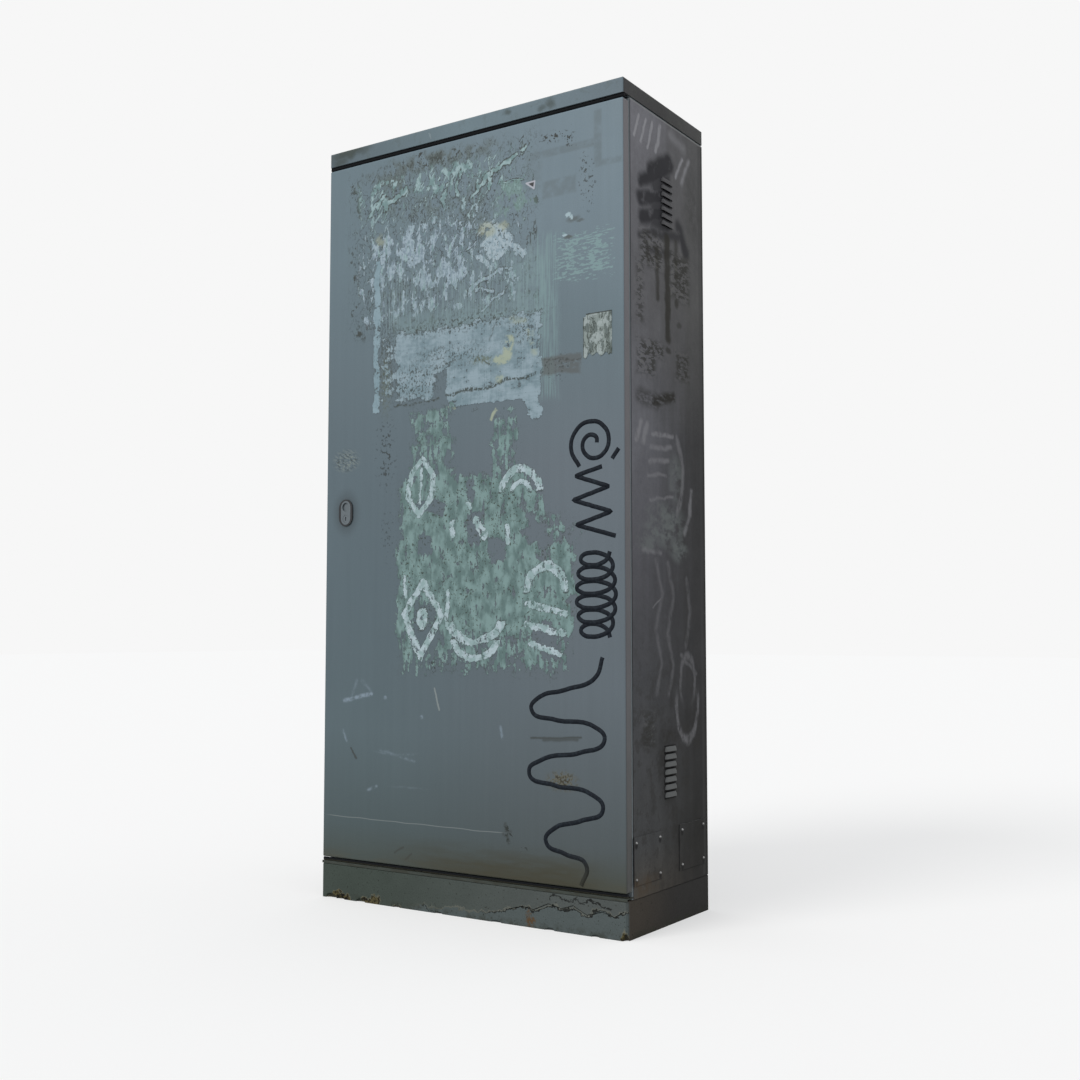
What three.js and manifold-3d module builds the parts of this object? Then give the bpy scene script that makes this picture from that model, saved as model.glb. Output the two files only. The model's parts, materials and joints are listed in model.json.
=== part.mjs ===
// A tall steel street cabinet for electrical switchgear, standing on a painted concrete plinth.
// Units are millimetres and +Z is up. The origin is the middle of the footprint, at the ground.
// The door is on the -Y side, hung on the +X edge and locked near the -X edge.

import * as THREE from 'three';
import { mergeVertices } from 'three/addons/utils/BufferGeometryUtils.js';
import Module from 'manifold-3d';

const wasm = await Module();
wasm.setup();

// ---------------------------------------------------------------------------------------------
// Driving dimensions
// ---------------------------------------------------------------------------------------------

// The whole cabinet
const width = 813;
const depth = 363.2;
const height = 1760;
const sheet = 2; // body, door, cap and base steel
const foldRadius = 3.5; // outside radius of a visible fold
const roundSteps = 3; // facets in a fold or a rounded edge
const fit = 0.3; // clearance between pieces that seat on each other

// Concrete plinth
const plinthHeight = 77;
const plinthWall = 60;
const plinthArris = 3;

// Base frame, gland plate and cable seal
const sillHeight = 6;
const baseFlange = 62;
const upstand = 33; // base and roof flanges that lie inside the side panels
const returnFlange = 18; // rear folds of the side panels and front folds of the rear panel
const glandPlateLap = 10;
const sealLength = 400;
const sealWidth = 96;
const sealThickness = 4;
const sealLap = 12;
const sleeveCount = 3;
const sleevePitch = 125;
const sleeveBore = 40;
const sleeveTipBore = 28;
const sleeveWall = 2.5;
const sleeveHeight = 34;

// Door opening: the body's front folds in, then forward as a rim that presses on the gasket
const rimInset = 30.5; // from the outside of the body to the inside face of the rim
const rimReach = 18;
const railHeightBottom = 42; // from the top of the plinth to the top of the lower rim
const railHeightTop = 37; // from the bottom of the cap down to the top of the upper rim

// Cap
const capHeight = 33;
const capShadow = 4; // between the side panels and the cap
const capLip = 14;
const capSeat = 10; // how far the front lip laps over the body's front

// Door
const doorDepth = 21.4;
const doorSeam = 3.2; // between the door's back edge and the body
const doorGapBelow = 9;
const doorGapAbove = 10;
const doorSideInset = 0.5;
const doorLip = 12;
const doorCorner = 5;
const gasketWidth = 7.2;
const stiffenerWidth = 44;
const stiffenerFoot = 14;
const stiffenerDepth = 13;
const stiffenerSheet = 1.5;
const stiffenerEndGap = 42; // from the rim on the hinge side
const stiffenerLockGap = 21; // from the lock's housing
const stiffenerSpread = 487.5; // how far each lies above or below the middle of the door

// Hinges
const hingePinRadius = 3;
const hingeWall = 1.2;
const hingePlate = 3; // frame leaf
const hingeDoorPlate = 1.5;
const hingeHeight = 56;
const hingeKnuckle = 24;
const hingeEar = 3;
const hingeSideOffset = 9.1; // from the outside of the body to the pin's axis
const hingeFrontOffset = 9; // from the front of the door to the pin's axis
const hingeEndInset = 190; // from the door's ends to the outer hinges
const hingeNotchGap = 4; // above and below each hinge, in the door's lip

// Lock
const lockInset = 62.5; // from the cabinet's side to the middle of the lock
const lockHeight = 889;
const bezelWidth = 42;
const bezelHeight = 63;
const bezelThickness = 2.2;
const faceWidth = 29;
const faceHeight = 56;
const faceReach = 7.5; // from the face of the lock body back through the door
const dishRadius = 10.5;
const dishDepth = 3.5;
const plugDrop = 14; // from the middle of the lock down to the plug
const plugRadius = 8.5;
const plugRecess = 0.4;
const plugTailRadius = 4;
const keySlotWidth = 2.6;
const keySlotHeight = 9;
const keySlotDepth = 7;

// Pinion and rods
const gearModule = 2;
const gearTeeth = 12;
const toothFoot = 0.36; // half a pinion tooth's thickness at its foot, in pitches
const toothWaist = 0.22; // and just inside the pitch circle
const toothTip = 0.1;
const rackFoot = 0.33; // half a rack tooth's thickness at its foot, in pitches
const rackTip = 0.13;
const rackSpare = 1.5; // how far the rack runs on past its travel at both ends, in pitches
const rackThickness = 5;
const pinionThickness = 6;
const rodWidth = 10;
const rodSetback = 13.6; // from the front of the door to the middle of the rods
const rodBite = 10; // how far a locked rod passes through the rim
const keeperPlay = 1;
const housingSheet = 2;
const housingPlay = 1;
const housingHeight = 80;
const housingBackGap = 2;
const guideWall = 3;
const guidePlay = 0.6;
const guideHeight = 16;
const guideInset = 120; // from the door's ends

// Side louvres and blanking plates
const louvreCount = 7;
const louvrePitch = 15.8;
const louvreLength = 52;
const louvreRise = 12; // height of one hood
const louvreReach = 5.5;
const louvreSheet = 1.4;
const louvreEnd = 9;
const louvreCentre = 3.5; // from the middle of the depth
const louvreTopInset = 176; // from the top of the cabinet to the first upper slot
const louvreLowHeight = 265.5; // from the ground to the last lower slot
const plateLength = 122;
const plateHeight = 97;
const plateSheet = 1.5;
const plateFrontInset = 86; // from the front of the cabinet to the middle of the front plate
const plateRearInset = 78; // from the back of the cabinet to the middle of the rear plate
const plateFrontHeight = 151;
const plateRearHeight = 153.4;
const rivetPitchAcross = 100;
const rivetPitchUp = 73;
const rivetHeadRadius = 4.2;
const rivetHeadHeight = 2.4;
const rivetShankRadius = 2.4;
const rivetTail = 1.5;
const holeLap = 18; // how far a plate laps over the opening behind it, at its ends
const holeLapUp = 22;

// Mounting rails and plate
const railDepth = 54;
const railFace = 40;
const railFoot = 15;
const railSheet = 2;
const railEndGap = 60; // from the door opening's top and bottom
const railInset = 44; // from the board's side to the middle of a rail
const boardSheet = 2.5;
const boardSideInset = 76;
const boardEndGap = 20; // the board is this much shorter than the rails at each end
const boardReturn = 12;

// Main switch
const switchWidth = 150;
const switchTall = 190;
const switchDepth = 60;
const switchBossSide = 104;
const switchBossDepth = 16;
const switchPolePitch = 47;
const switchSlotWidth = 30;
const switchSlotTall = 22;
const switchSlotDepth = 40;
const handleRadius = 36;
const handleDisc = 8;
const handleGripLength = 92;
const handleGripWidth = 18;
const handleGripDepth = 20;
const handleShaftRadius = 6;
const handleShaftLength = 12;

// Busbars
const busbarCount = 3;
const busbarPitch = 62;
const busbarHeight = 30;
const busbarThickness = 5;
const busbarEndInset = 40; // from the board's sides
const supportWidth = 26;
const supportDepth = 48;
const supportInset = 110; // from the board's sides to the middle of a support
const supportMargin = 14;
const busbarSetback = 14; // from the support's front to the bar's front

// Rail and breakers
const dinHeight = 35;
const dinDepth = 7.5;
const dinSheet = 1.2;
const dinLip = 5;
const dinSideInset = 90; // from the board's sides
const breakerCount = 3;
const breakerPitch = 72;
const breakerWidth = 54;
const breakerTall = 86;
const breakerShoulder = 44;
const breakerNose = 60;
const breakerNoseTall = 45;
const breakerGrip = 4; // how far a breaker reaches back over the rail's edges
const toggleDrum = 7;
const toggleWidth = 46;
const toggleLever = 12;
const toggleThickness = 5;
const toggleTilt = 38; // degrees above level, when switched on
const togglePlay = 0.6;

// Terminal block and earth bar
const blockLength = 210;
const blockTall = 44;
const blockDepth = 40;
const blockPoles = 5;
const blockSlotWidth = 24;
const blockSlotDepth = 18;
const earthLength = 420;
const earthTall = 25;
const earthThickness = 5;
const earthRise = 16;
const earthFoot = 30;
const earthHoles = 9;
const earthHoleRadius = 4.5;
const rowCount = 5; // equal rows on the board, from the bottom: earth, terminals, breakers, bars, switch

// ---------------------------------------------------------------------------------------------
// Planes and places that several pieces share
// ---------------------------------------------------------------------------------------------

const sideX = width / 2;
const frontY = -depth / 2;
const backY = depth / 2;
const insideX = sideX - sheet - fit; // outside of the pieces that lie within the side panels
const bodyFrontY = frontY + doorDepth + doorSeam;
const rearPanelY = backY - sheet - fit; // outside of the rear panel
const rearInsideY = rearPanelY - sheet - fit; // outside of the pieces that lie within the rear panel
const foldInside = foldRadius - sheet; // inside radius of a fold
const insideFrontY = bodyFrontY + foldRadius + fit; // start of the pieces behind the front folds
const bodyBottomZ = plinthHeight + fit;
const sillTopZ = plinthHeight + sillHeight;
const capBottomZ = height - capHeight;
const roofTopZ = capBottomZ - fit;
const panelTopZ = capBottomZ - capShadow;
const rimX = sideX - rimInset; // inside face of the side rims
const rimFrontY = bodyFrontY - rimReach;
const lowerRimZ = plinthHeight + railHeightBottom; // upper face of the lower rim
const upperRimZ = capBottomZ - railHeightTop; // upper face of the upper rim
const roofFlangeZ = roofTopZ - upstand;
const baseFlangeZ = bodyBottomZ + upstand;

const doorX = sideX - doorSideInset;
const doorBottomZ = sillTopZ + doorGapBelow;
const doorTopZ = capBottomZ - doorGapAbove;
const doorMiddleZ = (doorBottomZ + doorTopZ) / 2;
const doorBackY = frontY + doorDepth;
const doorSkinY = frontY + sheet; // inside face of the door's front
const doorSeatY = doorSkinY + fit; // where pieces on the inside of the door start
const gasketX = rimX + sheet / 2;
const gasketThickness = rimFrontY - fit - doorSeatY;

const hinge = new THREE.Vector2(sideX - hingeSideOffset, frontY + hingeFrontOffset);
const hingeHeights = [doorBottomZ + hingeEndInset, doorMiddleZ, doorTopZ - hingeEndInset];

const lockX = -sideX + lockInset;
const plugZ = lockHeight - plugDrop;
const pitchRadius = (gearModule * gearTeeth) / 2;
const addendum = 0.9 * gearModule;
const dedendum = 1.25 * gearModule;
const rodTravel = (pitchRadius * Math.PI) / 2; // a quarter turn of the pinion
const rodY = frontY + rodSetback;
const rodInnerX = pitchRadius + dedendum; // from the plug's axis to a rod's toothed edge
const rodMiddleX = rodInnerX + rodWidth / 2;
const upperRodX = lockX - rodMiddleX;
const lowerRodX = lockX + rodMiddleX;
const housingX = rodInnerX + rodWidth + housingPlay; // from the plug's axis to the housing's inside
const housingBackY = rodY + pinionThickness / 2 + housingBackGap;

const railTopZ = upperRimZ - railEndGap;
const railBottomZ = lowerRimZ + railEndGap;
const boardBackY = rearInsideY - railDepth - fit;
const boardY = boardBackY - boardSheet; // front face of the mounting plate
const boardX = sideX - boardSideInset;
const railX = boardX - railInset;
const boardTopZ = railTopZ - boardEndGap;
const boardBottomZ = railBottomZ + boardEndGap;
const seatY = boardY - fit; // where pieces on the mounting plate start
const rowZ = (row) => boardBottomZ + ((row - 0.5) * (boardTopZ - boardBottomZ)) / rowCount;

// ---------------------------------------------------------------------------------------------
// Finishes
// ---------------------------------------------------------------------------------------------

const finishes = {
  paint: { color: 0x68767c, roughness: 0.6, metalness: 0.2 },
  shadedPaint: { color: 0x4a494a, roughness: 0.7, metalness: 0.2 },
  concrete: { color: 0x4f544f, roughness: 0.95, metalness: 0 },
  zinc: { color: 0x9aa0a2, roughness: 0.45, metalness: 0.85 },
  steel: { color: 0xb4b8ba, roughness: 0.35, metalness: 0.9 },
  dark: { color: 0x1c2022, roughness: 0.6, metalness: 0.1 },
  rubber: { color: 0x202020, roughness: 0.9, metalness: 0 },
  nylon: { color: 0xcfcabb, roughness: 0.6, metalness: 0 },
  greyPlastic: { color: 0x8d9290, roughness: 0.5, metalness: 0 },
  lightPlastic: { color: 0xd7d8d2, roughness: 0.45, metalness: 0 },
  redPlastic: { color: 0x7d1f1c, roughness: 0.45, metalness: 0 },
  copper: { color: 0xb06f48, roughness: 0.4, metalness: 0.9 },
};

// ---------------------------------------------------------------------------------------------
// Shape helpers
// ---------------------------------------------------------------------------------------------

/** Turns a three.js geometry into a welded solid that can be joined and cut. */
function solid(shape) {
  if (shape instanceof wasm.Manifold) return shape;
  const bare = shape.clone();
  bare.deleteAttribute('normal');
  bare.deleteAttribute('uv');
  const welded = mergeVertices(bare, 1e-4);
  const corners = welded.index.array;
  const triangles = [];
  for (let i = 0; i < corners.length; i += 3) {
    const [a, b, c] = corners.slice(i, i + 3);
    if (a !== b && b !== c && c !== a) triangles.push(a, b, c);
  }
  return new wasm.Manifold(
    new wasm.Mesh({
      numProp: 3,
      vertProperties: new Float32Array(welded.attributes.position.array),
      triVerts: new Uint32Array(triangles),
    }),
  );
}

/** Joins shapes into one solid. */
function join(...shapes) {
  return shapes.map(solid).reduce((whole, next) => whole.add(next));
}

/** Cuts every tool out of a shape. */
function cut(shape, ...tools) {
  return tools.map(solid).reduce((whole, next) => whole.subtract(next), solid(shape));
}

/** Keeps what all the shapes share. */
function common(...shapes) {
  return shapes.map(solid).reduce((whole, next) => whole.intersect(next));
}

/** A named piece with a material of its own. */
function piece(name, finish, shape) {
  const cutMesh = solid(shape).getMesh();
  const geometry = new THREE.BufferGeometry();
  geometry.setAttribute('position', new THREE.BufferAttribute(cutMesh.vertProperties, 3));
  geometry.setIndex(new THREE.BufferAttribute(cutMesh.triVerts, 1));
  const flat = geometry.toNonIndexed();
  flat.computeVertexNormals();
  const mesh = new THREE.Mesh(flat, new THREE.MeshStandardMaterial(finishes[finish]));
  mesh.name = name;
  return mesh;
}

/** A box from three [low, high] ranges. */
function block([x0, x1], [y0, y1], [z0, z1]) {
  const box = new THREE.BoxGeometry(x1 - x0, y1 - y0, z1 - z0);
  return box.translate((x0 + x1) / 2, (y0 + y1) / 2, (z0 + z1) / 2);
}

/** The range that lies within a half size on both sides of a middle. */
const about = (middle, half) => [middle - half, middle + half];

/** A closed outline through [a, b] points. */
const outline = (points) => new THREE.Shape(points.map(([a, b]) => new THREE.Vector2(a, b)));

/** A rectangle whose corners are rounded where their radius isn't 0, from low-low, anticlockwise. */
function roundedRectangle([a0, a1], [b0, b1], radii) {
  const corners = [[a0, b0], [a1, b0], [a1, b1], [a0, b1]];
  const points = corners.flatMap(([a, b], i) => {
    const r = radii[i];
    if (r === 0) return [[a, b]];
    const centre = [a === a0 ? a + r : a - r, b === b0 ? b + r : b - r];
    return arc(centre, r, 180 + 90 * i, 270 + 90 * i, roundSteps);
  });
  return outline(points);
}

/** Points on an arc, in degrees. */
function arc([a, b], radius, from, to, steps) {
  return Array.from({ length: steps + 1 }, (_, i) => {
    const angle = THREE.MathUtils.degToRad(from + ((to - from) * i) / steps);
    return [a + radius * Math.cos(angle), b + radius * Math.sin(angle)];
  });
}

/** A slot-shaped outline with round ends, taller than it is wide. */
function stadium([a, b], wide, tall, steps = 8) {
  const r = wide / 2;
  const rise = tall / 2 - r;
  return outline([...arc([a, b + rise], r, 0, 180, steps), ...arc([a, b - rise], r, 180, 360, steps)]);
}

/**
 * The section of a folded sheet. The points run along one face, and the thickness goes to the left
 * of the way they run, or to the right when it is negative.
 */
function folded(points, thickness, radius = 0) {
  const face = [points[0]];
  for (let i = 1; i < points.length - 1; i += 1) {
    face.push(...bend(points[i - 1], points[i], points[i + 1], thickness, radius));
  }
  face.push(points[points.length - 1]);
  return outline([...face, ...offset(face, thickness).reverse()]);
}

/** Replaces a corner with an arc: the outside of the fold has the given radius. */
function bend(before, corner, after, thickness, radius) {
  if (radius === 0) return [corner];
  const from = new THREE.Vector2(before[0] - corner[0], before[1] - corner[1]).normalize();
  const to = new THREE.Vector2(after[0] - corner[0], after[1] - corner[1]).normalize();
  const turnsToSheet = from.cross(to) * thickness < 0;
  const r = turnsToSheet ? radius : radius - Math.abs(thickness);
  const half = from.angleTo(to) / 2;
  const reach = r / Math.tan(half);
  const start = new THREE.Vector2(...corner).addScaledVector(from, reach);
  const end = new THREE.Vector2(...corner).addScaledVector(to, reach);
  const middle = from.clone().add(to).normalize().multiplyScalar(r / Math.sin(half));
  const centre = new THREE.Vector2(...corner).add(middle);
  return Array.from({ length: roundSteps + 1 }, (_, i) => {
    const p = start.clone().lerp(end, i / roundSteps).sub(centre).setLength(r).add(centre);
    return [p.x, p.y];
  });
}

/** Moves an open line sideways by a thickness, with its corners kept sharp. */
function offset(points, thickness) {
  const sides = points.slice(1).map(([a, b], i) => {
    return new THREE.Vector2(-(b - points[i][1]), a - points[i][0]).normalize();
  });
  return points.map(([a, b], i) => {
    const one = sides[Math.max(i - 1, 0)];
    const two = sides[Math.min(i, sides.length - 1)];
    const normal = one.clone().add(two).normalize();
    const reach = thickness / normal.dot(one);
    return [a + normal.x * reach, b + normal.y * reach];
  });
}

/** A hat section's face line: its feet lie at one level and its crown at another. */
function hat(footLevel, crownLevel, middle, crown, foot) {
  return [
    [footLevel, middle - foot],
    [footLevel, middle - crown],
    [crownLevel, middle - crown],
    [crownLevel, middle + crown],
    [footLevel, middle + crown],
    [footLevel, middle + foot],
  ];
}

const X = new THREE.Vector3(1, 0, 0);
const Y = new THREE.Vector3(0, 1, 0);
const Z = new THREE.Vector3(0, 0, 1);
const BASES = {
  x: new THREE.Matrix4().makeBasis(Y, Z, X), // outlines in (y, z)
  y: new THREE.Matrix4().makeBasis(X, Z, Y.clone().negate()), // outlines in (x, z)
  z: new THREE.Matrix4(), // outlines in (x, y)
};

/** Extrudes an outline along an axis, from a low to a high value. */
function prism(shape, axis, [low, high]) {
  const geometry = new THREE.ExtrudeGeometry(shape, { depth: high - low, bevelEnabled: false });
  geometry.applyMatrix4(BASES[axis]);
  const start = axis === 'y' ? high : low;
  const place = { x: [start, 0, 0], y: [0, start, 0], z: [0, 0, start] }[axis];
  return geometry.translate(...place);
}

/** A cylinder along an axis, about a centre given in the other two coordinates. */
function cylinder(radius, axis, [low, high], [a, b], sides = 16) {
  const geometry = new THREE.CylinderGeometry(radius, radius, high - low, sides);
  const middle = (low + high) / 2;
  if (axis === 'x') return geometry.rotateZ(-Math.PI / 2).translate(middle, a, b);
  if (axis === 'y') return geometry.translate(a, middle, b);
  return geometry.rotateX(Math.PI / 2).translate(a, b, middle);
}

/** A box with rounded edges round its front (-Y) face, which has rounded corners. */
function softFrontBox(x, y, z, radius, corner) {
  return common(
    prism(roundedRectangle(x, y, [radius, radius, 0, 0]), 'z', z),
    prism(roundedRectangle(y, z, [radius, 0, 0, radius]), 'x', x),
    prism(roundedRectangle(x, z, [corner, corner, corner, corner]), 'y', y),
  );
}

/** A box with rounded upright edges and rounded edges round its top. */
function softTopBox(x, y, z, radius) {
  return common(
    prism(roundedRectangle(x, y, [radius, radius, radius, radius]), 'z', z),
    prism(roundedRectangle(y, z, [0, 0, radius, radius]), 'x', x),
    prism(roundedRectangle(x, z, [0, 0, radius, radius]), 'y', y),
  );
}

// ---------------------------------------------------------------------------------------------
// Plinth and base
// ---------------------------------------------------------------------------------------------

// Chips along the foot of the front: place as a share of the half width, then their size
const chips = [
  { at: -0.93, size: [38, 9, 13], turn: 0.3 },
  { at: -0.86, size: [30, 7, 8], turn: 1.1 },
  { at: -0.71, size: [34, 8, 10], turn: 2.0 },
  { at: -0.45, size: [20, 5, 5], turn: 0.7 },
  { at: -0.16, size: [26, 5, 5], turn: 1.7 },
  { at: 0.22, size: [30, 5, 6], turn: 0.2 },
  { at: 0.55, size: [26, 6, 7], turn: 2.4 },
  { at: 0.82, size: [22, 6, 6], turn: 1.3 },
  { at: 0.99, size: [14, 14, 17], turn: 0.5 },
];
// The crack wanders across the right half of the front: share of the half width, share of the height
const crack = [
  [0.3, 0.4], [0.38, 0.52], [0.45, 0.47], [0.54, 0.68], [0.62, 0.6],
  [0.69, 0.72], [0.77, 0.52], [0.86, 0.66], [0.93, 0.56], [0.985, 0.74],
];
const crackWidth = 1.6;
const crackDepth = 5;

/** A faceted lump that breaks a ragged chip out of the plinth's lower front edge. */
function chipTool({ at, size: [wide, deep, tall], turn }) {
  const lump = new THREE.IcosahedronGeometry(0.5, 0);
  return lump.rotateY(turn).rotateX(turn).scale(wide, 2 * deep, 2 * tall).translate(at * sideX, frontY, 0);
}

/** The crack as a narrow blade, to be cut into the front. */
function crackTool() {
  const points = crack.map(([across, up]) => [across * sideX, up * plinthHeight]);
  const line = folded(points, crackWidth);
  return prism(line, 'y', [frontY - crackDepth, frontY + crackDepth]);
}

function plinth() {
  const c = plinthArris;
  const footprint = outline([
    [-sideX + c, frontY], [sideX - c, frontY], [sideX, frontY + c], [sideX, backY - c],
    [sideX - c, backY], [-sideX + c, backY], [-sideX, backY - c], [-sideX, frontY + c],
  ]);
  const acrossTop = outline([
    [-sideX, 0], [sideX, 0], [sideX, plinthHeight - c], [sideX - c, plinthHeight],
    [-sideX + c, plinthHeight], [-sideX, plinthHeight - c],
  ]);
  const alongTop = outline([
    [frontY, 0], [backY, 0], [backY, plinthHeight - c], [backY - c, plinthHeight],
    [frontY + c, plinthHeight], [frontY, plinthHeight - c],
  ]);
  const whole = common(
    prism(footprint, 'z', [0, plinthHeight]),
    prism(acrossTop, 'y', [frontY, backY]),
    prism(alongTop, 'x', [-sideX, sideX]),
  );
  const well = block(
    about(0, sideX - plinthWall),
    about(0, depth / 2 - plinthWall),
    [-1, plinthHeight + 1],
  );
  return piece('plinth', 'concrete', cut(whole, well, crackTool(), ...chips.map(chipTool)));
}

/** The slot in a rim that a rod's end passes through. */
function keeper(rodX, rimZ) {
  return block(
    about(rodX, rodWidth / 2 + keeperPlay),
    about(rodY, rackThickness / 2 + keeperPlay),
    [rimZ - 2 * sheet, rimZ + sheet],
  );
}

/** The opening in the base frame's flange. */
const baseOpening = {
  x: [-insideX + baseFlange, insideX - baseFlange],
  y: [bodyFrontY + baseFlange, rearInsideY - baseFlange],
};

function baseFrame() {
  const floorZ = [bodyBottomZ, bodyBottomZ + sheet];
  const wallZ = [bodyBottomZ, baseFlangeZ];
  const wallY = [insideFrontY, rearInsideY];
  const rail = folded(
    [[rimFrontY, lowerRimZ - sheet], [bodyFrontY, lowerRimZ - sheet], [bodyFrontY, bodyBottomZ]],
    sheet,
  );
  const sill = folded(
    [[frontY, bodyBottomZ], [frontY, sillTopZ], [bodyFrontY - fit, sillTopZ]],
    -sheet,
  );
  const tongueY = [bodyFrontY - sheet, bodyFrontY + sheet];
  const sillTongue = block(about(0, rimX - fit), tongueY, [sillTopZ - sheet, sillTopZ]);
  const whole = join(
    block(about(0, insideX), wallY, floorZ),
    block(about(0, rimX - fit), [bodyFrontY, rearInsideY], floorZ),
    block([-insideX, -insideX + sheet], wallY, wallZ),
    block([insideX - sheet, insideX], wallY, wallZ),
    block(about(0, insideX), [rearInsideY - sheet, rearInsideY], wallZ),
    prism(rail, 'x', about(0, rimX - fit)),
    prism(sill, 'x', about(0, sideX)),
    sillTongue,
  );
  const opening = block(baseOpening.x, baseOpening.y, [0, sillTopZ]);
  const slot = keeper(lowerRodX, lowerRimZ);
  return piece('base_frame', 'paint', cut(whole, opening, slot, ...allPlateOpenings()));
}

const glandPlateZ = bodyBottomZ + sheet + fit;
const sealMiddleY = (baseOpening.y[0] + baseOpening.y[1]) / 2;

function glandPlate() {
  const [x0, x1] = baseOpening.x;
  const [y0, y1] = baseOpening.y;
  const lap = glandPlateLap;
  const whole = block([x0 - lap, x1 + lap], [y0 - lap, y1 + lap], [glandPlateZ, glandPlateZ + sheet]);
  const hole = block(
    about(0, sealLength / 2 - sealLap),
    about(sealMiddleY, sealWidth / 2 - sealLap),
    [glandPlateZ - sheet, glandPlateZ + 2 * sheet],
  );
  return piece('gland_plate', 'zinc', cut(whole, hole));
}

/** Where each cable sleeve stands along the seal. */
const sleeveX = (i) => (i - (sleeveCount - 1) / 2) * sleevePitch;

/** One tapered sleeve, as the outside and the bore that is cut through it. */
function sleeve(i, z) {
  const cone = (low, high, bottom, top, reach) => {
    const profile = [[0, low], [bottom, low], [top, high], [0, high]];
    const lathe = new THREE.LatheGeometry(profile.map(([r, y]) => new THREE.Vector2(r, y)), reach);
    return lathe.rotateX(Math.PI / 2).translate(sleeveX(i), sealMiddleY, z);
  };
  const r0 = sleeveBore / 2;
  const r1 = sleeveTipBore / 2;
  return {
    outside: cone(0, sleeveHeight, r0 + sleeveWall, r1 + sleeveWall, 16),
    bore: cone(-2 * sealThickness, sleeveHeight + sealThickness, r0, r1, 16),
  };
}

function cableSeal() {
  const z0 = glandPlateZ + sheet + fit;
  const pad = block(about(0, sealLength / 2), about(sealMiddleY, sealWidth / 2), [z0, z0 + sealThickness]);
  const sleeves = Array.from({ length: sleeveCount }, (_, i) => sleeve(i, z0));
  const whole = join(pad, ...sleeves.map((s) => s.outside));
  return piece('cable_seal', 'rubber', cut(whole, ...sleeves.map((s) => s.bore)));
}

// ---------------------------------------------------------------------------------------------
// Body
// ---------------------------------------------------------------------------------------------

/** One louvre: the hood that stands out of the side panel, and the hollow that opens downwards. */
function louvre(side, y, z) {
  const quarter = (shrink, inward) => {
    const r = louvreEnd - shrink;
    const capsule = new THREE.CapsuleGeometry(r, louvreLength - 2 * louvreEnd, 3, 12);
    capsule.scale((louvreReach - shrink) / r, 1, (louvreRise - shrink) / r);
    const x = side > 0 ? [-inward, louvreReach + 1] : [-louvreReach - 1, inward];
    const kept = common(capsule, block(x, about(0, louvreLength), [0, 2 * louvreRise]));
    return kept.translate([side * sideX, y, z]);
  };
  return { hood: quarter(0, sheet / 2), hollow: quarter(louvreSheet, 2 * sheet) };
}

/** Heights of every louvre's slot. */
const louvreHeights = Array.from({ length: louvreCount }, (_, i) => i * louvrePitch).flatMap((step) => [
  height - louvreTopInset - step,
  louvreLowHeight + step,
]);

const blankingPlates = [
  { name: 'front', y: frontY + plateFrontInset, z: plateFrontHeight },
  { name: 'rear', y: backY - plateRearInset, z: plateRearHeight },
];

/** The four rivet places of a blanking plate. */
function rivetPlaces({ y, z }) {
  return [-1, 1].flatMap((across) =>
    [-1, 1].map((up) => [y + (across * rivetPitchAcross) / 2, z + (up * rivetPitchUp) / 2]),
  );
}

/** The opening behind a blanking plate, and its rivet holes. */
function plateOpenings(plate) {
  const reach = [sideX - 2 * foldRadius, sideX + 2 * sheet];
  const hole = block(
    reach,
    about(plate.y, plateLength / 2 - holeLap),
    about(plate.z, plateHeight / 2 - holeLapUp),
  );
  return [hole, ...rivetPlaces(plate).map((at) => cylinder(rivetShankRadius + fit, 'x', reach, at, 10))];
}

/** Every blanking plate's openings, for the side panel and what lies against its inside. */
const allPlateOpenings = () => blankingPlates.flatMap(plateOpenings);

function sidePanel(name, side) {
  const section = folded(
    [
      [side * (rimX + sheet), rimFrontY],
      [side * (rimX + sheet), bodyFrontY],
      [side * sideX, bodyFrontY],
      [side * sideX, backY],
      [side * (sideX - returnFlange), backY],
    ],
    side * sheet,
    foldRadius,
  );
  const panel = prism(section, 'z', [bodyBottomZ, panelTopZ]);
  const rimX0 = side * (sideX - rimInset - sheet);
  const rimX1 = side * (rimX + 2 * sheet + fit);
  const rimSpan = [Math.min(rimX0, rimX1), Math.max(rimX0, rimX1)];
  const aboveRim = block(rimSpan, [rimFrontY - 1, bodyFrontY], [upperRimZ, panelTopZ + 1]);
  const belowRim = block(rimSpan, [rimFrontY - 1, bodyFrontY], [bodyBottomZ - 1, lowerRimZ - sheet]);
  const louvres = louvreHeights.map((z) => louvre(side, louvreCentre, z));
  const openings = side > 0 ? allPlateOpenings() : [];
  const whole = join(cut(panel, aboveRim, belowRim), ...louvres.map((l) => l.hood));
  return piece(name, 'shadedPaint', cut(whole, ...louvres.map((l) => l.hollow), ...openings));
}

function rearPanel() {
  const flangeY = rearPanelY - returnFlange;
  const section = folded(
    [[-insideX, flangeY], [-insideX, rearPanelY], [insideX, rearPanelY], [insideX, flangeY]],
    -sheet,
    foldRadius,
  );
  const panel = prism(section, 'z', [bodyBottomZ, panelTopZ]);
  const flanges = [flangeY - 1, rearInsideY + fit];
  const atBase = block(about(0, sideX), flanges, [0, baseFlangeZ + fit]);
  const atRoof = block(about(0, sideX), flanges, [roofFlangeZ - fit, height]);
  return piece('rear_panel', 'shadedPaint', cut(panel, atBase, atRoof, ...allPlateOpenings()));
}

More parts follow.
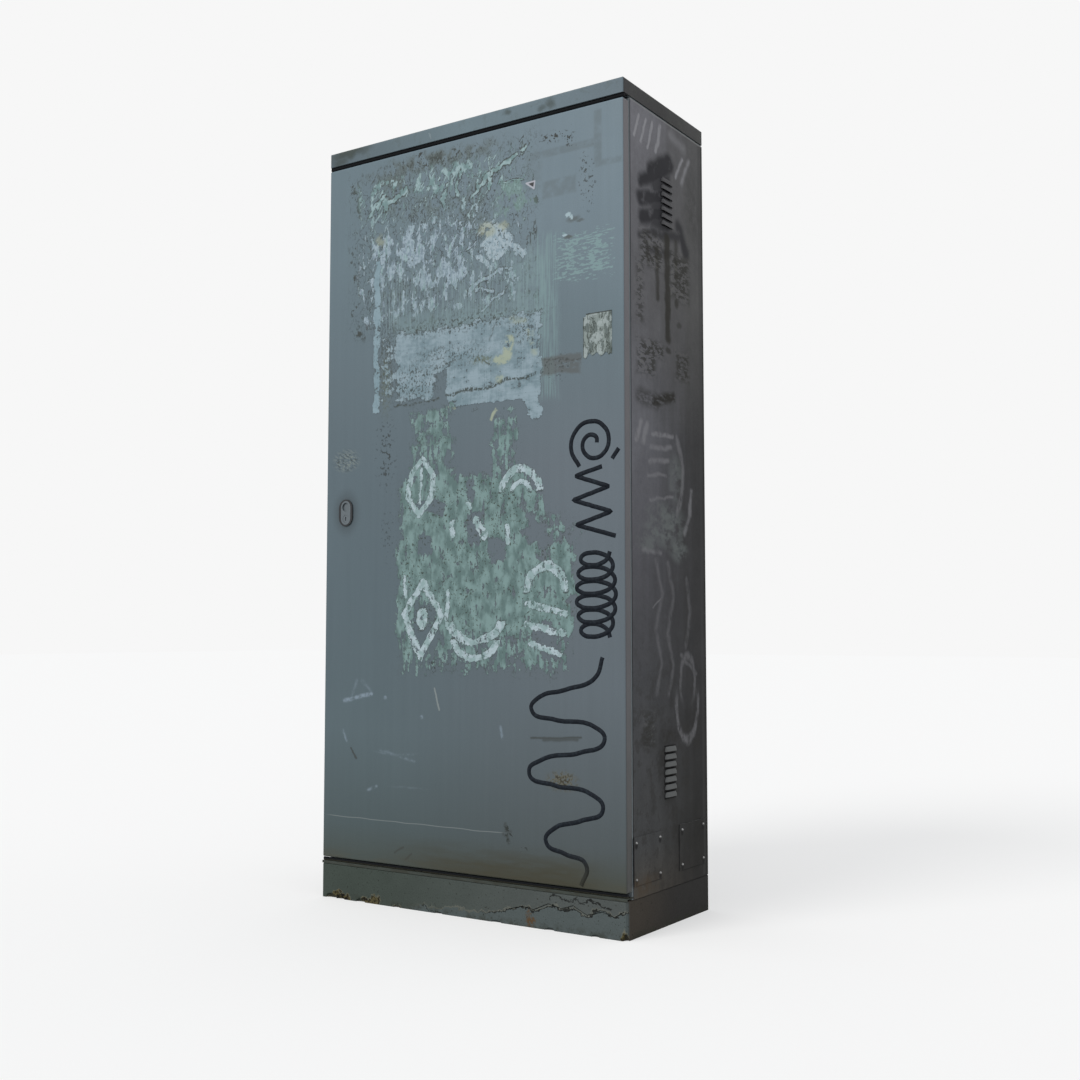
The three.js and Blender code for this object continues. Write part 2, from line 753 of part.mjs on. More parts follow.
function topPanel() {
  const wallZ = [roofFlangeZ, roofTopZ];
  const wallY = [insideFrontY, rearInsideY];
  const rail = folded(
    [[rimFrontY, upperRimZ], [bodyFrontY, upperRimZ], [bodyFrontY, roofTopZ]],
    -sheet,
  );
  const whole = join(
    block(about(0, insideX), [bodyFrontY, rearInsideY], [roofTopZ - sheet, roofTopZ]),
    block([-insideX, -insideX + sheet], wallY, wallZ),
    block([insideX - sheet, insideX], wallY, wallZ),
    block(about(0, insideX), [rearInsideY - sheet, rearInsideY], wallZ),
    prism(rail, 'x', about(0, rimX - fit)),
  );
  return piece('top_panel', 'paint', cut(whole, keeper(upperRodX, upperRimZ)));
}

function roofCap() {
  const shell = softTopBox(about(0, sideX), about(0, depth / 2), [capBottomZ, height], foldRadius);
  const hollow = softTopBox(
    about(0, sideX - sheet),
    about(0, depth / 2 - sheet),
    [capBottomZ + sheet, height - sheet],
    foldInside,
  );
  const mouth = block(
    about(0, sideX - capLip),
    [bodyFrontY + capSeat, backY - capLip],
    [capBottomZ - 1, capBottomZ + 2 * sheet],
  );
  return piece('roof_cap', 'paint', cut(shell, hollow, mouth));
}

function blankingPlate(plate) {
  const x = [sideX + fit, sideX + fit + plateSheet];
  const whole = block(x, about(plate.y, plateLength / 2), about(plate.z, plateHeight / 2));
  const holes = rivetPlaces(plate).map((at) => {
    return cylinder(rivetShankRadius + fit, 'x', [x[0] - sheet, x[1] + sheet], at, 10);
  });
  return piece(`blanking_plate_${plate.name}`, 'shadedPaint', cut(whole, ...holes));
}

/** A blind rivet along +X: domed head outside, shank through the plate and the side panel. */
function rivet(name, [y, z]) {
  const seat = sideX + plateSheet + 2 * fit;
  const tail = sheet + plateSheet + 2 * fit + rivetTail;
  const dome = arc([0, 0], 1, 0, 90, 4).map(([a, b]) => [a * rivetHeadRadius, b * rivetHeadHeight]);
  const profile = [[0, -tail], [rivetShankRadius, -tail], [rivetShankRadius, 0], ...dome];
  profile[profile.length - 1][0] = 0;
  const lathe = new THREE.LatheGeometry(profile.map(([r, h]) => new THREE.Vector2(r, h)), 12);
  const mesh = piece(name, 'steel', lathe.rotateZ(-Math.PI / 2));
  mesh.position.set(seat, y, z);
  return mesh;
}

function rivets() {
  return blankingPlates.flatMap((plate) =>
    rivetPlaces(plate).map((at, i) => rivet(`rivet_${plate.name}_${i + 1}`, at)),
  );
}

// ---------------------------------------------------------------------------------------------
// Door
// ---------------------------------------------------------------------------------------------

/** The outline of the lock's oval face, or of a hole with play round it. */
const lockOval = (play) => stadium([lockX, lockHeight], faceWidth + play, faceHeight + play);

function doorPanel() {
  const outsideZ = [doorBottomZ, doorTopZ];
  const insideZ = [doorBottomZ + sheet, doorTopZ - sheet];
  const insideY = [doorSkinY, doorBackY - sheet];
  const shell = softFrontBox(about(0, doorX), [frontY, doorBackY], outsideZ, foldRadius, doorCorner);
  const hollow = softFrontBox(about(0, doorX - sheet), insideY, insideZ, foldInside, doorCorner - sheet);
  const throughLip = [doorBackY - 2 * sheet, doorBackY + 1];
  const mouth = block(about(0, doorX - doorLip), throughLip, [doorBottomZ + doorLip, doorTopZ - doorLip]);
  const notches = hingeHeights.map((z) => {
    return block([doorX - 2 * doorLip, doorX - sheet], throughLip, about(z, hingeHeight / 2 + hingeNotchGap));
  });
  const lockHole = prism(lockOval(2 * fit), 'y', [frontY - 1, doorSkinY + 1]);
  return piece('door_panel', 'paint', cut(shell, hollow, mouth, lockHole, ...notches));
}

function doorStiffener(name, up) {
  const z = doorMiddleZ + up * stiffenerSpread;
  const y0 = doorSeatY;
  const y1 = doorSeatY + stiffenerDepth;
  const half = stiffenerWidth / 2;
  const section = folded(hat(y0, y1, z, half - stiffenerFoot, half), -stiffenerSheet);
  const x0 = lockX + housingX + housingSheet + stiffenerLockGap;
  return piece(name, 'paint', prism(section, 'x', [x0, rimX - stiffenerEndGap]));
}

function doorGasket() {
  const half = gasketWidth / 2;
  const low = lowerRimZ - sheet / 2;
  const high = upperRimZ - sheet / 2;
  const ring = roundedRectangle(about(0, gasketX + half), [low - half, high + half], [0, 0, 0, 0]);
  const opening = block(
    about(0, gasketX - half),
    [doorSkinY, rimFrontY],
    [low + half, high - half],
  );
  return piece('door_gasket', 'rubber', cut(prism(ring, 'y', [doorSeatY, doorSeatY + gasketThickness]), opening));
}

// ---------------------------------------------------------------------------------------------
// Hinges
// ---------------------------------------------------------------------------------------------

const knuckleRadius = hingePinRadius + fit + hingeWall;

/** The leaf on the body: a foot on the rim, and an arm that reaches forward to the pin. */
function frameLeaf(name, z) {
  const footX = rimX + sheet + fit;
  const footY = [rimFrontY, bodyFrontY - foldInside - fit];
  const span = about(z, hingeKnuckle / 2);
  const foot = block([footX, footX + hingePlate], footY, about(z, hingeHeight / 2));
  const arm = block([footX, hinge.x], [rimFrontY, rimFrontY + hingePlate], span);
  const knuckle = cylinder(knuckleRadius, 'z', span, [hinge.x, hinge.y]);
  const bore = cylinder(hingePinRadius + fit, 'z', about(z, hingeKnuckle), [hinge.x, hinge.y]);
  return piece(name, 'zinc', cut(join(foot, arm, knuckle), bore));
}

/** The leaf on the door: a plate inside the fold, with an ear above and below the knuckle. */
function doorLeaf(name, z) {
  const plateX = doorX - sheet - fit;
  const y = [doorSkinY + foldRadius - sheet + 2 * fit, hinge.y + hingeFrontOffset - fit];
  const plate = block([plateX - hingeDoorPlate, plateX], y, about(z, hingeHeight / 2));
  const ears = [-1, 1].map((up) => {
    const middle = z + up * (hingeKnuckle / 2 + fit + hingeEar / 2);
    const earX = [hinge.x - knuckleRadius, plateX];
    return block(earX, about(hinge.y, knuckleRadius), about(middle, hingeEar / 2));
  });
  const bore = cylinder(hingePinRadius + fit, 'z', about(z, hingeHeight), [hinge.x, hinge.y]);
  return piece(name, 'zinc', cut(join(plate, ...ears), bore));
}

/** The pin, with a flat head that rests on the upper ear. */
function hingePin(name, z) {
  const top = z + hingeKnuckle / 2 + hingeEar + 2 * fit;
  const bottom = z - hingeKnuckle / 2 - hingeEar - 2 * fit;
  const shank = cylinder(hingePinRadius, 'z', [bottom - fit, top + hingeWall], [hinge.x, hinge.y]);
  const head = cylinder(knuckleRadius, 'z', [top, top + hingeEar], [hinge.x, hinge.y]);
  return piece(name, 'steel', join(shank, head));
}

function hinges() {
  return hingeHeights.flatMap((z, i) => [
    frameLeaf(`hinge_frame_leaf_${i + 1}`, z),
    doorLeaf(`hinge_door_leaf_${i + 1}`, z),
    hingePin(`hinge_pin_${i + 1}`, z),
  ]);
}

// ---------------------------------------------------------------------------------------------
// Lock
// ---------------------------------------------------------------------------------------------

const bezelFrontY = frontY - fit - bezelThickness;
const dishZ = lockHeight + faceHeight / 2 - faceWidth / 2; // middle of the oval's upper round end

function lockBezel() {
  const ring = prism(stadium([lockX, lockHeight], bezelWidth, bezelHeight), 'y', [bezelFrontY, frontY - fit]);
  return piece('lock_bezel', 'dark', cut(ring, prism(lockOval(2 * fit), 'y', [bezelFrontY - 1, frontY])));
}

function lockBody() {
  const body = prism(lockOval(0), 'y', [bezelFrontY, bezelFrontY + faceReach]);
  const dish = cylinder(dishRadius, 'y', [bezelFrontY - 1, bezelFrontY + dishDepth], [lockX, dishZ]);
  const bore = cylinder(plugRadius + fit, 'y', [bezelFrontY - 1, bezelFrontY + 2 * faceReach], [lockX, plugZ]);
  return piece('lock_body', 'zinc', cut(body, dish, bore));
}

function lockPlug() {
  const start = bezelFrontY + plugRecess;
  const head = cylinder(plugRadius, 'y', [start, rodY - pinionThickness / 2 - fit], [lockX, plugZ]);
  const tail = cylinder(plugTailRadius, 'y', [start + 1, housingBackY + housingSheet + fit], [lockX, plugZ], 12);
  const slotY = [start - 1, start + keySlotDepth];
  const slot = block(about(lockX, keySlotWidth / 2), slotY, about(plugZ, keySlotHeight / 2));
  return piece('lock_plug', 'steel', cut(join(head, tail), slot));
}

/** The pinion's outline: straight-sided teeth, slimmer than their gaps. */
function pinionOutline() {
  const pitchAngle = (2 * Math.PI) / gearTeeth;
  const flank = [
    [pitchRadius - dedendum, toothFoot],
    [pitchRadius - dedendum / 4, toothWaist],
    [pitchRadius + addendum, toothTip],
  ];
  const corners = [...flank.map(([r, half]) => [r, -half]), ...flank.reverse()];
  const points = Array.from({ length: gearTeeth }, (_, i) =>
    corners.map(([r, share]) => {
      const angle = (i + share) * pitchAngle;
      return [r * Math.cos(angle), r * Math.sin(angle)];
    }),
  );
  return outline(points.flat());
}

function lockPinion() {
  const wheel = prism(pinionOutline(), 'y', about(rodY, pinionThickness / 2));
  const bore = cylinder(plugTailRadius + fit, 'y', about(rodY, pinionThickness), [0, 0], 12);
  const mesh = piece('lock_pinion', 'steel', cut(wheel, bore));
  mesh.position.set(lockX, 0, plugZ);
  return mesh;
}

function lockHousing() {
  const y1 = housingBackY + housingSheet;
  const section = folded(
    [
      [lockX - housingX - housingSheet, doorSeatY],
      [lockX - housingX - housingSheet, y1],
      [lockX + housingX + housingSheet, y1],
      [lockX + housingX + housingSheet, doorSeatY],
    ],
    -housingSheet,
  );
  const bore = cylinder(plugTailRadius + fit, 'y', about(y1, 2 * housingSheet), [lockX, plugZ], 12);
  return piece('lock_housing', 'zinc', cut(prism(section, 'z', about(plugZ, housingHeight / 2)), bore));
}

/**
 * A rod with a rack cut on its edge. It is drawn as the upper rod, to the left of the pinion, and
 * the lower one is the same turned half round about the plug's axis.
 */
function rod(name, reach, turned) {
  const pitch = Math.PI * gearModule;
  const root = -rodInnerX;
  const tip = -(pitchRadius - addendum);
  const lowest = -rodTravel / pitch - rackSpare;
  const teeth = Array.from({ length: Math.ceil(rackSpare - lowest) }, (_, i) => {
    const middle = i - 0.5 + Math.ceil(lowest);
    const heights = [middle - rackFoot, middle - rackTip, middle + rackTip, middle + rackFoot];
    return heights.map((share, corner) => [corner % 3 === 0 ? root : tip, share * pitch]);
  });
  const edge = teeth.flat();
  const end = rodWidth / 4;
  const bar = outline([
    [root - rodWidth, edge[0][1] - end],
    [root, edge[0][1] - end],
    ...edge,
    [root, reach - end],
    [root - end, reach],
    [root - rodWidth + end, reach],
    [root - rodWidth, reach - end],
  ]);
  const mesh = piece(name, 'steel', prism(bar, 'y', about(0, rackThickness / 2)));
  mesh.position.set(lockX, rodY, plugZ);
  mesh.rotation.y = turned ? Math.PI : 0;
  return mesh;
}

/** A block that a rod slides through, fixed to the inside of the door. */
function rodGuide(name, x, z) {
  const outer = rodWidth / 2 + guidePlay + guideWall;
  const back = rodY + rackThickness / 2 + guidePlay;
  const whole = block(about(x, outer), [doorSeatY, back + guideWall], about(z, guideHeight / 2));
  const hole = block(
    about(x, rodWidth / 2 + guidePlay),
    about(rodY, rackThickness / 2 + guidePlay),
    about(z, guideHeight),
  );
  return piece(name, 'nylon', cut(whole, hole));
}

function lock() {
  const upperReach = upperRimZ + rodBite - rodTravel - plugZ;
  const lowerReach = plugZ - (lowerRimZ - sheet - rodBite) - rodTravel;
  return [
    lockBezel(),
    lockBody(),
    lockPlug(),
    lockPinion(),
    lockHousing(),
    rod('lock_rod_upper', upperReach, false),
    rod('lock_rod_lower', lowerReach, true),
    rodGuide('rod_guide_upper', upperRodX, doorTopZ - guideInset),
    rodGuide('rod_guide_lower', lowerRodX, doorBottomZ + guideInset),
  ];
}

// ---------------------------------------------------------------------------------------------
// Equipment inside
// ---------------------------------------------------------------------------------------------

/** A hat-section rail that stands on the rear panel. */
function mountingRail(name, x) {
  const face = railFace / 2;
  const foot = face + railFoot;
  const front = rearInsideY - railDepth + railSheet;
  const section = folded(
    hat(rearInsideY, front, x, face, foot).map(([y, across]) => [across, y]),
    -railSheet,
  );
  return piece(name, 'zinc', prism(section, 'z', [railBottomZ, railTopZ]));
}

function mountingPlate() {
  const returnsY = [boardY, boardBackY + boardReturn];
  const whole = join(
    block(about(0, boardX), [boardY, boardBackY], [boardBottomZ, boardTopZ]),
    block([-boardX, -boardX + boardSheet], returnsY, [boardBottomZ, boardTopZ]),
    block([boardX - boardSheet, boardX], returnsY, [boardBottomZ, boardTopZ]),
  );
  return piece('mounting_plate', 'zinc', whole);
}

const switchZ = rowZ(5);
const switchFrontY = seatY - switchDepth - switchBossDepth;

function mainSwitch() {
  const baseY = [seatY - switchDepth, seatY];
  const base = block(about(0, switchWidth / 2), baseY, about(switchZ, switchTall / 2));
  const boss = block(about(0, switchBossSide / 2), [switchFrontY, seatY - 1], about(switchZ, switchBossSide / 2));
  const slotY = [seatY - switchDepth - 1, seatY - switchDepth + switchSlotDepth];
  const slots = [-1, 0, 1].flatMap((pole) =>
    [-1, 1].map((up) => {
      const middleZ = switchZ + (up * switchTall) / 2;
      return block(about(pole * switchPolePitch, switchSlotWidth / 2), slotY, about(middleZ, switchSlotTall));
    }),
  );
  const bore = cylinder(handleShaftRadius + fit, 'y', about(switchFrontY, handleShaftLength + 1), [0, switchZ]);
  return piece('main_switch', 'lightPlastic', cut(join(base, boss), ...slots, bore));
}

function switchHandle() {
  const discBack = switchFrontY - fit;
  const discFront = discBack - handleDisc;
  const disc = cylinder(handleRadius, 'y', [discFront, discBack], [0, switchZ], 32);
  const grip = prism(stadium([0, switchZ], handleGripWidth, handleGripLength, 4), 'y', [
    discFront - handleGripDepth,
    discFront + 1,
  ]);
  const shaft = cylinder(handleShaftRadius, 'y', [discBack - 1, switchFrontY + handleShaftLength], [0, switchZ]);
  return piece('switch_handle', 'redPlastic', join(disc, grip, shaft));
}

const busbarZ = (i) => rowZ(4) + (i - (busbarCount - 1) / 2) * busbarPitch;
const busbarY = [seatY - supportDepth + busbarSetback, seatY - supportDepth + busbarSetback + busbarThickness];

function busbar(i) {
  const bar = block(about(0, boardX - busbarEndInset), busbarY, about(busbarZ(i), busbarHeight / 2));
  return piece(`busbar_${i + 1}`, 'copper', bar);
}

function busbarSupport(name, x) {
  const half = (busbarCount * busbarPitch) / 2 + supportMargin;
  const whole = block(about(x, supportWidth / 2), [seatY - supportDepth, seatY], about(rowZ(4), half));
  const windows = Array.from({ length: busbarCount }, (_, i) =>
    block(
      about(x, supportWidth),
      [busbarY[0] - fit, busbarY[1] + fit],
      about(busbarZ(i), busbarHeight / 2 + fit),
    ),
  );
  return piece(name, 'redPlastic', cut(whole, ...windows));
}

const dinFrontY = seatY - dinDepth;

function dinRail() {
  const z = rowZ(3);
  const web = seatY - dinSheet;
  const half = dinHeight / 2;
  const section = folded(hat(dinFrontY, web, z, half - dinLip, half), -dinSheet);
  return piece('din_rail', 'zinc', prism(section, 'x', about(0, boardX - dinSideInset)));
}

/** A breaker of several poles, clipped over the rail, with a window for its toggle. */
function breaker(i) {
  const x = (i - (breakerCount - 1) / 2) * breakerPitch;
  const z = rowZ(3);
  const back = dinFrontY - fit;
  const half = breakerTall / 2;
  const slot = dinHeight / 2 + fit;
  const nose = breakerNoseTall / 2;
  const profile = outline([
    [back, z - slot], [back + breakerGrip, z - slot], [back + breakerGrip, z - half],
    [back - breakerShoulder, z - half], [back - breakerShoulder, z - nose], [back - breakerNose, z - nose],
    [back - breakerNose, z + nose], [back - breakerShoulder, z + nose], [back - breakerShoulder, z + half],
    [back + breakerGrip, z + half], [back + breakerGrip, z + slot], [back, z + slot],
  ]);
  const body = prism(profile, 'x', about(x, breakerWidth / 2));
  const pivot = [back - breakerNose, z];
  const well = cylinder(toggleDrum + togglePlay, 'x', about(x, toggleWidth / 2 + togglePlay), pivot);
  const mesh = piece(`breaker_${i + 1}`, 'lightPlastic', cut(body, well));
  return [mesh, toggle(i, x, pivot)];
}

/** The toggle that switches all of a breaker's poles, tipped up. */
function toggle(i, x, [y, z]) {
  const span = about(0, toggleWidth / 2);
  const drum = cylinder(toggleDrum, 'x', span, [0, 0]);
  const lever = block(span, [-toggleDrum - toggleLever, 0], about(0, toggleThickness / 2));
  const mesh = piece(`toggle_${i + 1}`, 'dark', join(drum, lever));
  mesh.position.set(x, y, z);
  mesh.rotation.x = THREE.MathUtils.degToRad(-toggleTilt);
  return mesh;
}

function terminalBlock() {
  const z = rowZ(2);
  const whole = block(about(0, blockLength / 2), [seatY - blockDepth, seatY], about(z, blockTall / 2));
  const slots = Array.from({ length: blockPoles }, (_, i) => {
    const x = ((i - (blockPoles - 1) / 2) * blockLength) / blockPoles;
    const y = [seatY - blockDepth - 1, seatY - blockDepth + blockSlotDepth];
    return block(about(x, blockSlotWidth / 2), y, about(z, blockTall / 4));
  });
  return piece('terminal_block', 'greyPlastic', cut(whole, ...slots));
}

/** A flat copper bar whose ends are set back onto the mounting plate. */
function earthBar() {
  const z = rowZ(1);
  const half = earthLength / 2;
  const front = seatY - earthRise - earthThickness;
  const step = earthFoot + earthRise / 2;
  const section = folded(
    [[-half, seatY - earthThickness], [-half + earthFoot, seatY - earthThickness], [-half + step, front],
      [half - step, front], [half - earthFoot, seatY - earthThickness], [half, seatY - earthThickness]],
    earthThickness,
  );
  const bar = prism(section, 'z', about(z, earthTall / 2));
  const holes = Array.from({ length: earthHoles }, (_, i) => {
    const x = ((i - (earthHoles - 1) / 2) * (earthLength - 2 * step - earthTall)) / (earthHoles - 1);
    return cylinder(earthHoleRadius, 'y', about(front, 2 * earthThickness), [x, z], 8);
  });
  return piece('earth_bar', 'copper', cut(bar, ...holes));
}

function equipment() {
  const supportX = boardX - supportInset;
  return [
    mountingRail('mounting_rail_left', -railX),
    mountingRail('mounting_rail_right', railX),
    mountingPlate(),
    mainSwitch(),
    switchHandle(),
    ...Array.from({ length: busbarCount }, (_, i) => busbar(i)),
    busbarSupport('busbar_support_left', -supportX),
    busbarSupport('busbar_support_right', supportX),
    dinRail(),
    ...Array.from({ length: breakerCount }, (_, i) => breaker(i)).flat(),
    terminalBlock(),
    earthBar(),
  ];
}

// ---------------------------------------------------------------------------------------------
// The cabinet
// ---------------------------------------------------------------------------------------------

const group = new THREE.Group();
group.add(
  plinth(),
  baseFrame(),
  glandPlate(),
  cableSeal(),
  sidePanel('side_panel_left', -1),
  sidePanel('side_panel_right', 1),
  rearPanel(),
  topPanel(),
  roofCap(),
  ...blankingPlates.map(blankingPlate),
  ...rivets(),
  doorPanel(),
  doorStiffener('door_stiffener_upper', 1),
  doorStiffener('door_stiffener_lower', -1),
  doorGasket(),
  ...hinges(),
  ...lock(),
  ...equipment(),
);

export default group;
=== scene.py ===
# %% [markdown]
# # A painted steel switch cabinet
#
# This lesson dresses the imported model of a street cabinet: a tall steel box with
# one door, louvres in its sides, riveted blanking plates and a concrete plinth.
# The solids come in ready and are never moved. What is added here is finish,
# wear, painted strokes, fasteners and the light to see them by.

import json
import math

import bmesh
import bpy
from mathutils import Matrix, Vector
from mathutils import noise as rough_ground


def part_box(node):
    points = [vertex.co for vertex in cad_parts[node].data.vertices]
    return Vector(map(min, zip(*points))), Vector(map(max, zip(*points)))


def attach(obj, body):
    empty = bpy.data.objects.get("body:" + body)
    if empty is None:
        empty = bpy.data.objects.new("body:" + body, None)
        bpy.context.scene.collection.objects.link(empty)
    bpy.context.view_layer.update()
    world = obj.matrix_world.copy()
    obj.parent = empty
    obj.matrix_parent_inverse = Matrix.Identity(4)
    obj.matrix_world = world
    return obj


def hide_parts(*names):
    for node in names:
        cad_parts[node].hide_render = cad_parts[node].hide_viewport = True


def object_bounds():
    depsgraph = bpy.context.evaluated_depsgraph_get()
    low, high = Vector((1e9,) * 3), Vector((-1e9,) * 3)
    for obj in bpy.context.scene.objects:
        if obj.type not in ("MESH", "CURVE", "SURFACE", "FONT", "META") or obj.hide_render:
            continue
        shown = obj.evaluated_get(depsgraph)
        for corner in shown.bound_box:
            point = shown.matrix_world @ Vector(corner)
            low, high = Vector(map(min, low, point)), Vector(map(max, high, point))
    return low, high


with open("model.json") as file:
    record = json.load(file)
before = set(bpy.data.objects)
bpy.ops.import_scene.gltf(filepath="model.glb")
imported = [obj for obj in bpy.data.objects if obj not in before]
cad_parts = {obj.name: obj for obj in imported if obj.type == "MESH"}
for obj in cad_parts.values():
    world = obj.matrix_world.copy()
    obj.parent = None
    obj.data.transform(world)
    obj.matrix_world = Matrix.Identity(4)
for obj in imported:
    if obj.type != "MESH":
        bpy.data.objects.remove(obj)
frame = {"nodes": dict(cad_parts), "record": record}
cad_box = [list(corner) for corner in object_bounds()]
print("solids' box", cad_box)

# %% [markdown]
# ## Places that everything else refers to
#
# The door's front face, the right-hand panel's face and the door's outline are
# read from the model, so that marks and fasteners sit on real surfaces. Three
# measures are written down: the panels' front edge, half the cabinet's width, and
# the thin zones in which a panel's inner face ends and its outer face begins.

# %% Faces of the cabinet
door_low, door_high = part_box("door_panel")
door_front = door_low[1]
cabinet_top = cad_box[1][2]
panel_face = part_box("base_frame")[1][0]
panel_front = -0.1570
half_wide = 0.41
outside_x, outside_y, outside_z = (0.4054, 0.4060), (0.1778, 0.1784), (1.7215, 1.7221)


def centre(node):
    """The middle of a node's box."""
    low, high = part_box(node)
    return tuple((a + b) / 2 for a, b in zip(low, high))


print("door front", round(door_front, 4), "panel face", round(panel_face, 4))

# %% [markdown]
# ## Camera
#
# The camera stands to the right of the door, a little below half height, and
# looks up slightly. A lens of about 43 mm keeps the upright edges close to
# parallel while the roof still falls away to both sides.

# %% Camera
eye = bpy.data.cameras.new("eye")
eye.lens = 43.43
eye.sensor_width = 36.0
eye.clip_end = 60.0
camera = bpy.data.objects.new("camera", eye)
camera.location = (1.711, -2.464, 0.611)
camera.rotation_euler = (math.radians(94.04), 0.0, math.radians(33.51))
bpy.context.scene.collection.objects.link(camera)
bpy.context.scene.camera = camera
bpy.context.scene.view_settings.view_transform = "Standard"

# %% [markdown]
# ## Light
#
# Soft daylight: an even sky, and one large soft lamp from the front left, so that
# the door is the bright face and the right-hand panel the dim one. Rays from the
# camera, from gloss and through glass see a pale backdrop instead of the sky, and
# that changes nothing in how the object is lit.

# %% Sky and lamp
backdrop_white = 0.93
sky_strength = 0.72


def seen_ray(nodes, links):
    """1 for rays from the camera, from gloss and through glass, else 0."""
    path = nodes.new("ShaderNodeLightPath")
    total = path.outputs["Is Camera Ray"]
    for name in ("Is Glossy Ray", "Is Transmission Ray"):
        add = nodes.new("ShaderNodeMath")
        add.operation = "ADD"
        add.use_clamp = True
        links.new(total, add.inputs[0])
        links.new(path.outputs[name], add.inputs[1])
        total = add.outputs[0]
    return total


world = bpy.data.worlds.new("soft_sky")
world.use_nodes = True
sky_nodes, sky_links = world.node_tree.nodes, world.node_tree.links
sky = sky_nodes["Background"]
sky.inputs["Color"].default_value = (0.97, 0.985, 1.0, 1.0)
sky.inputs["Strength"].default_value = sky_strength
pale = sky_nodes.new("ShaderNodeBackground")
pale.inputs["Color"].default_value = (1.0, 1.0, 1.0, 1.0)
pale.inputs["Strength"].default_value = backdrop_white
choice = sky_nodes.new("ShaderNodeMixShader")
sky_links.new(seen_ray(sky_nodes, sky_links), choice.inputs[0])
sky_links.new(sky.outputs[0], choice.inputs[1])
sky_links.new(pale.outputs[0], choice.inputs[2])
sky_links.new(choice.outputs[0], sky_nodes["World Output"].inputs["Surface"])
bpy.context.scene.world = world

lamp = bpy.data.lights.new("front_left_lamp", "SUN")
lamp.energy = 1.5
lamp.angle = math.radians(28.0)
lamp.color = (1.0, 0.985, 0.96)
lamp_object = bpy.data.objects.new("front_left_lamp", lamp)
to_lamp = Vector((-0.25, -0.75, 0.6))
lamp_object.rotation_euler = to_lamp.to_track_quat("Z", "Y").to_euler()
bpy.context.scene.collection.objects.link(lamp_object)

# %% [markdown]
# ## Floor
#
# The floor gives back grey daylight to the lower parts of the cabinet. What the
# camera sees of it is lifted to the backdrop's white by a little glow of its own,
# which keeps the cabinet's shadow as a soft darkening.

# %% Floor
floor_grey = 0.45
floor_glow = 0.495
floor_half = 30.0

floor_mesh = bpy.data.meshes.new("floor")
corners = [(-floor_half, -floor_half, 0.0), (floor_half, -floor_half, 0.0),
           (floor_half, floor_half, 0.0), (-floor_half, floor_half, 0.0)]
floor_mesh.from_pydata(corners, [], [(0, 1, 2, 3)])
floor = bpy.data.objects.new("floor", floor_mesh)
bpy.context.scene.collection.objects.link(floor)

floor_paint = bpy.data.materials.new("floor_paint")
floor_paint.use_nodes = True
floor_nodes = floor_paint.node_tree.nodes
floor_links = floor_paint.node_tree.links
matte = floor_nodes["Principled BSDF"]
matte.inputs["Base Color"].default_value = (floor_grey, floor_grey, floor_grey, 1.0)
matte.inputs["Roughness"].default_value = 1.0
matte.inputs["Specular IOR Level"].default_value = 0.0
glow = floor_nodes.new("ShaderNodeEmission")
glow.inputs["Strength"].default_value = floor_glow
both = floor_nodes.new("ShaderNodeAddShader")
floor_links.new(matte.outputs[0], both.inputs[0])
floor_links.new(glow.outputs[0], both.inputs[1])
pick = floor_nodes.new("ShaderNodeMixShader")
floor_links.new(seen_ray(floor_nodes, floor_links), pick.inputs[0])
floor_links.new(matte.outputs[0], pick.inputs[1])
floor_links.new(both.outputs[0], pick.inputs[2])
floor_links.new(pick.outputs[0], floor_nodes["Material Output"].inputs["Surface"])
floor_mesh.materials.append(floor_paint)

# %% [markdown]
# ## A short way to write finishes
#
# A finish on this cabinet is many thin layers: paint, dirt, glue, scraped paint.
# Each layer is a number from 0 to 1 that varies over the surface. `Field` holds
# such a number, and adding or multiplying two Fields adds the node that does it,
# so that a finish reads like a sum. `Finish` holds the material itself. Every
# pattern is placed in metres by Object coordinates.


# %% Field: a number that varies over a surface
class Field:
    def __init__(self, finish, socket):
        self.finish = finish
        self.socket = socket

    def __add__(self, other):
        return self.finish.calc("ADD", self, other)

    __radd__ = __add__

    def __sub__(self, other):
        return self.finish.calc("SUBTRACT", self, other)

    def __rsub__(self, other):
        return self.finish.calc("SUBTRACT", other, self)

    def __mul__(self, other):
        return self.finish.calc("MULTIPLY", self, other)

    __rmul__ = __mul__

    def __truediv__(self, other):
        return self.finish.calc("DIVIDE", self, other)

    def __abs__(self):
        return self.finish.calc("ABSOLUTE", self)

    def or_more(self, other):
        return self.finish.calc("MAXIMUM", self, other)

    def or_less(self, other):
        return self.finish.calc("MINIMUM", self, other)

    def rises(self, start, end):
        """0 at start and 1 at end, with a smooth step between; start may be the larger."""
        made = self.finish.node("ShaderNodeMapRange", Value=self)
        made.interpolation_type = "SMOOTHSTEP"
        made.clamp = False
        made.inputs["From Min"].default_value = start
        made.inputs["From Max"].default_value = end
        return Field(self.finish, made.outputs[0])


# %% Finish: a material made of fields
def paint(red, green, blue):
    """A colour given as on screen, 0 to 255, turned into the linear light that shaders use."""
    return tuple((part / 255.0) ** 2.2 for part in (red, green, blue)) + (1.0,)


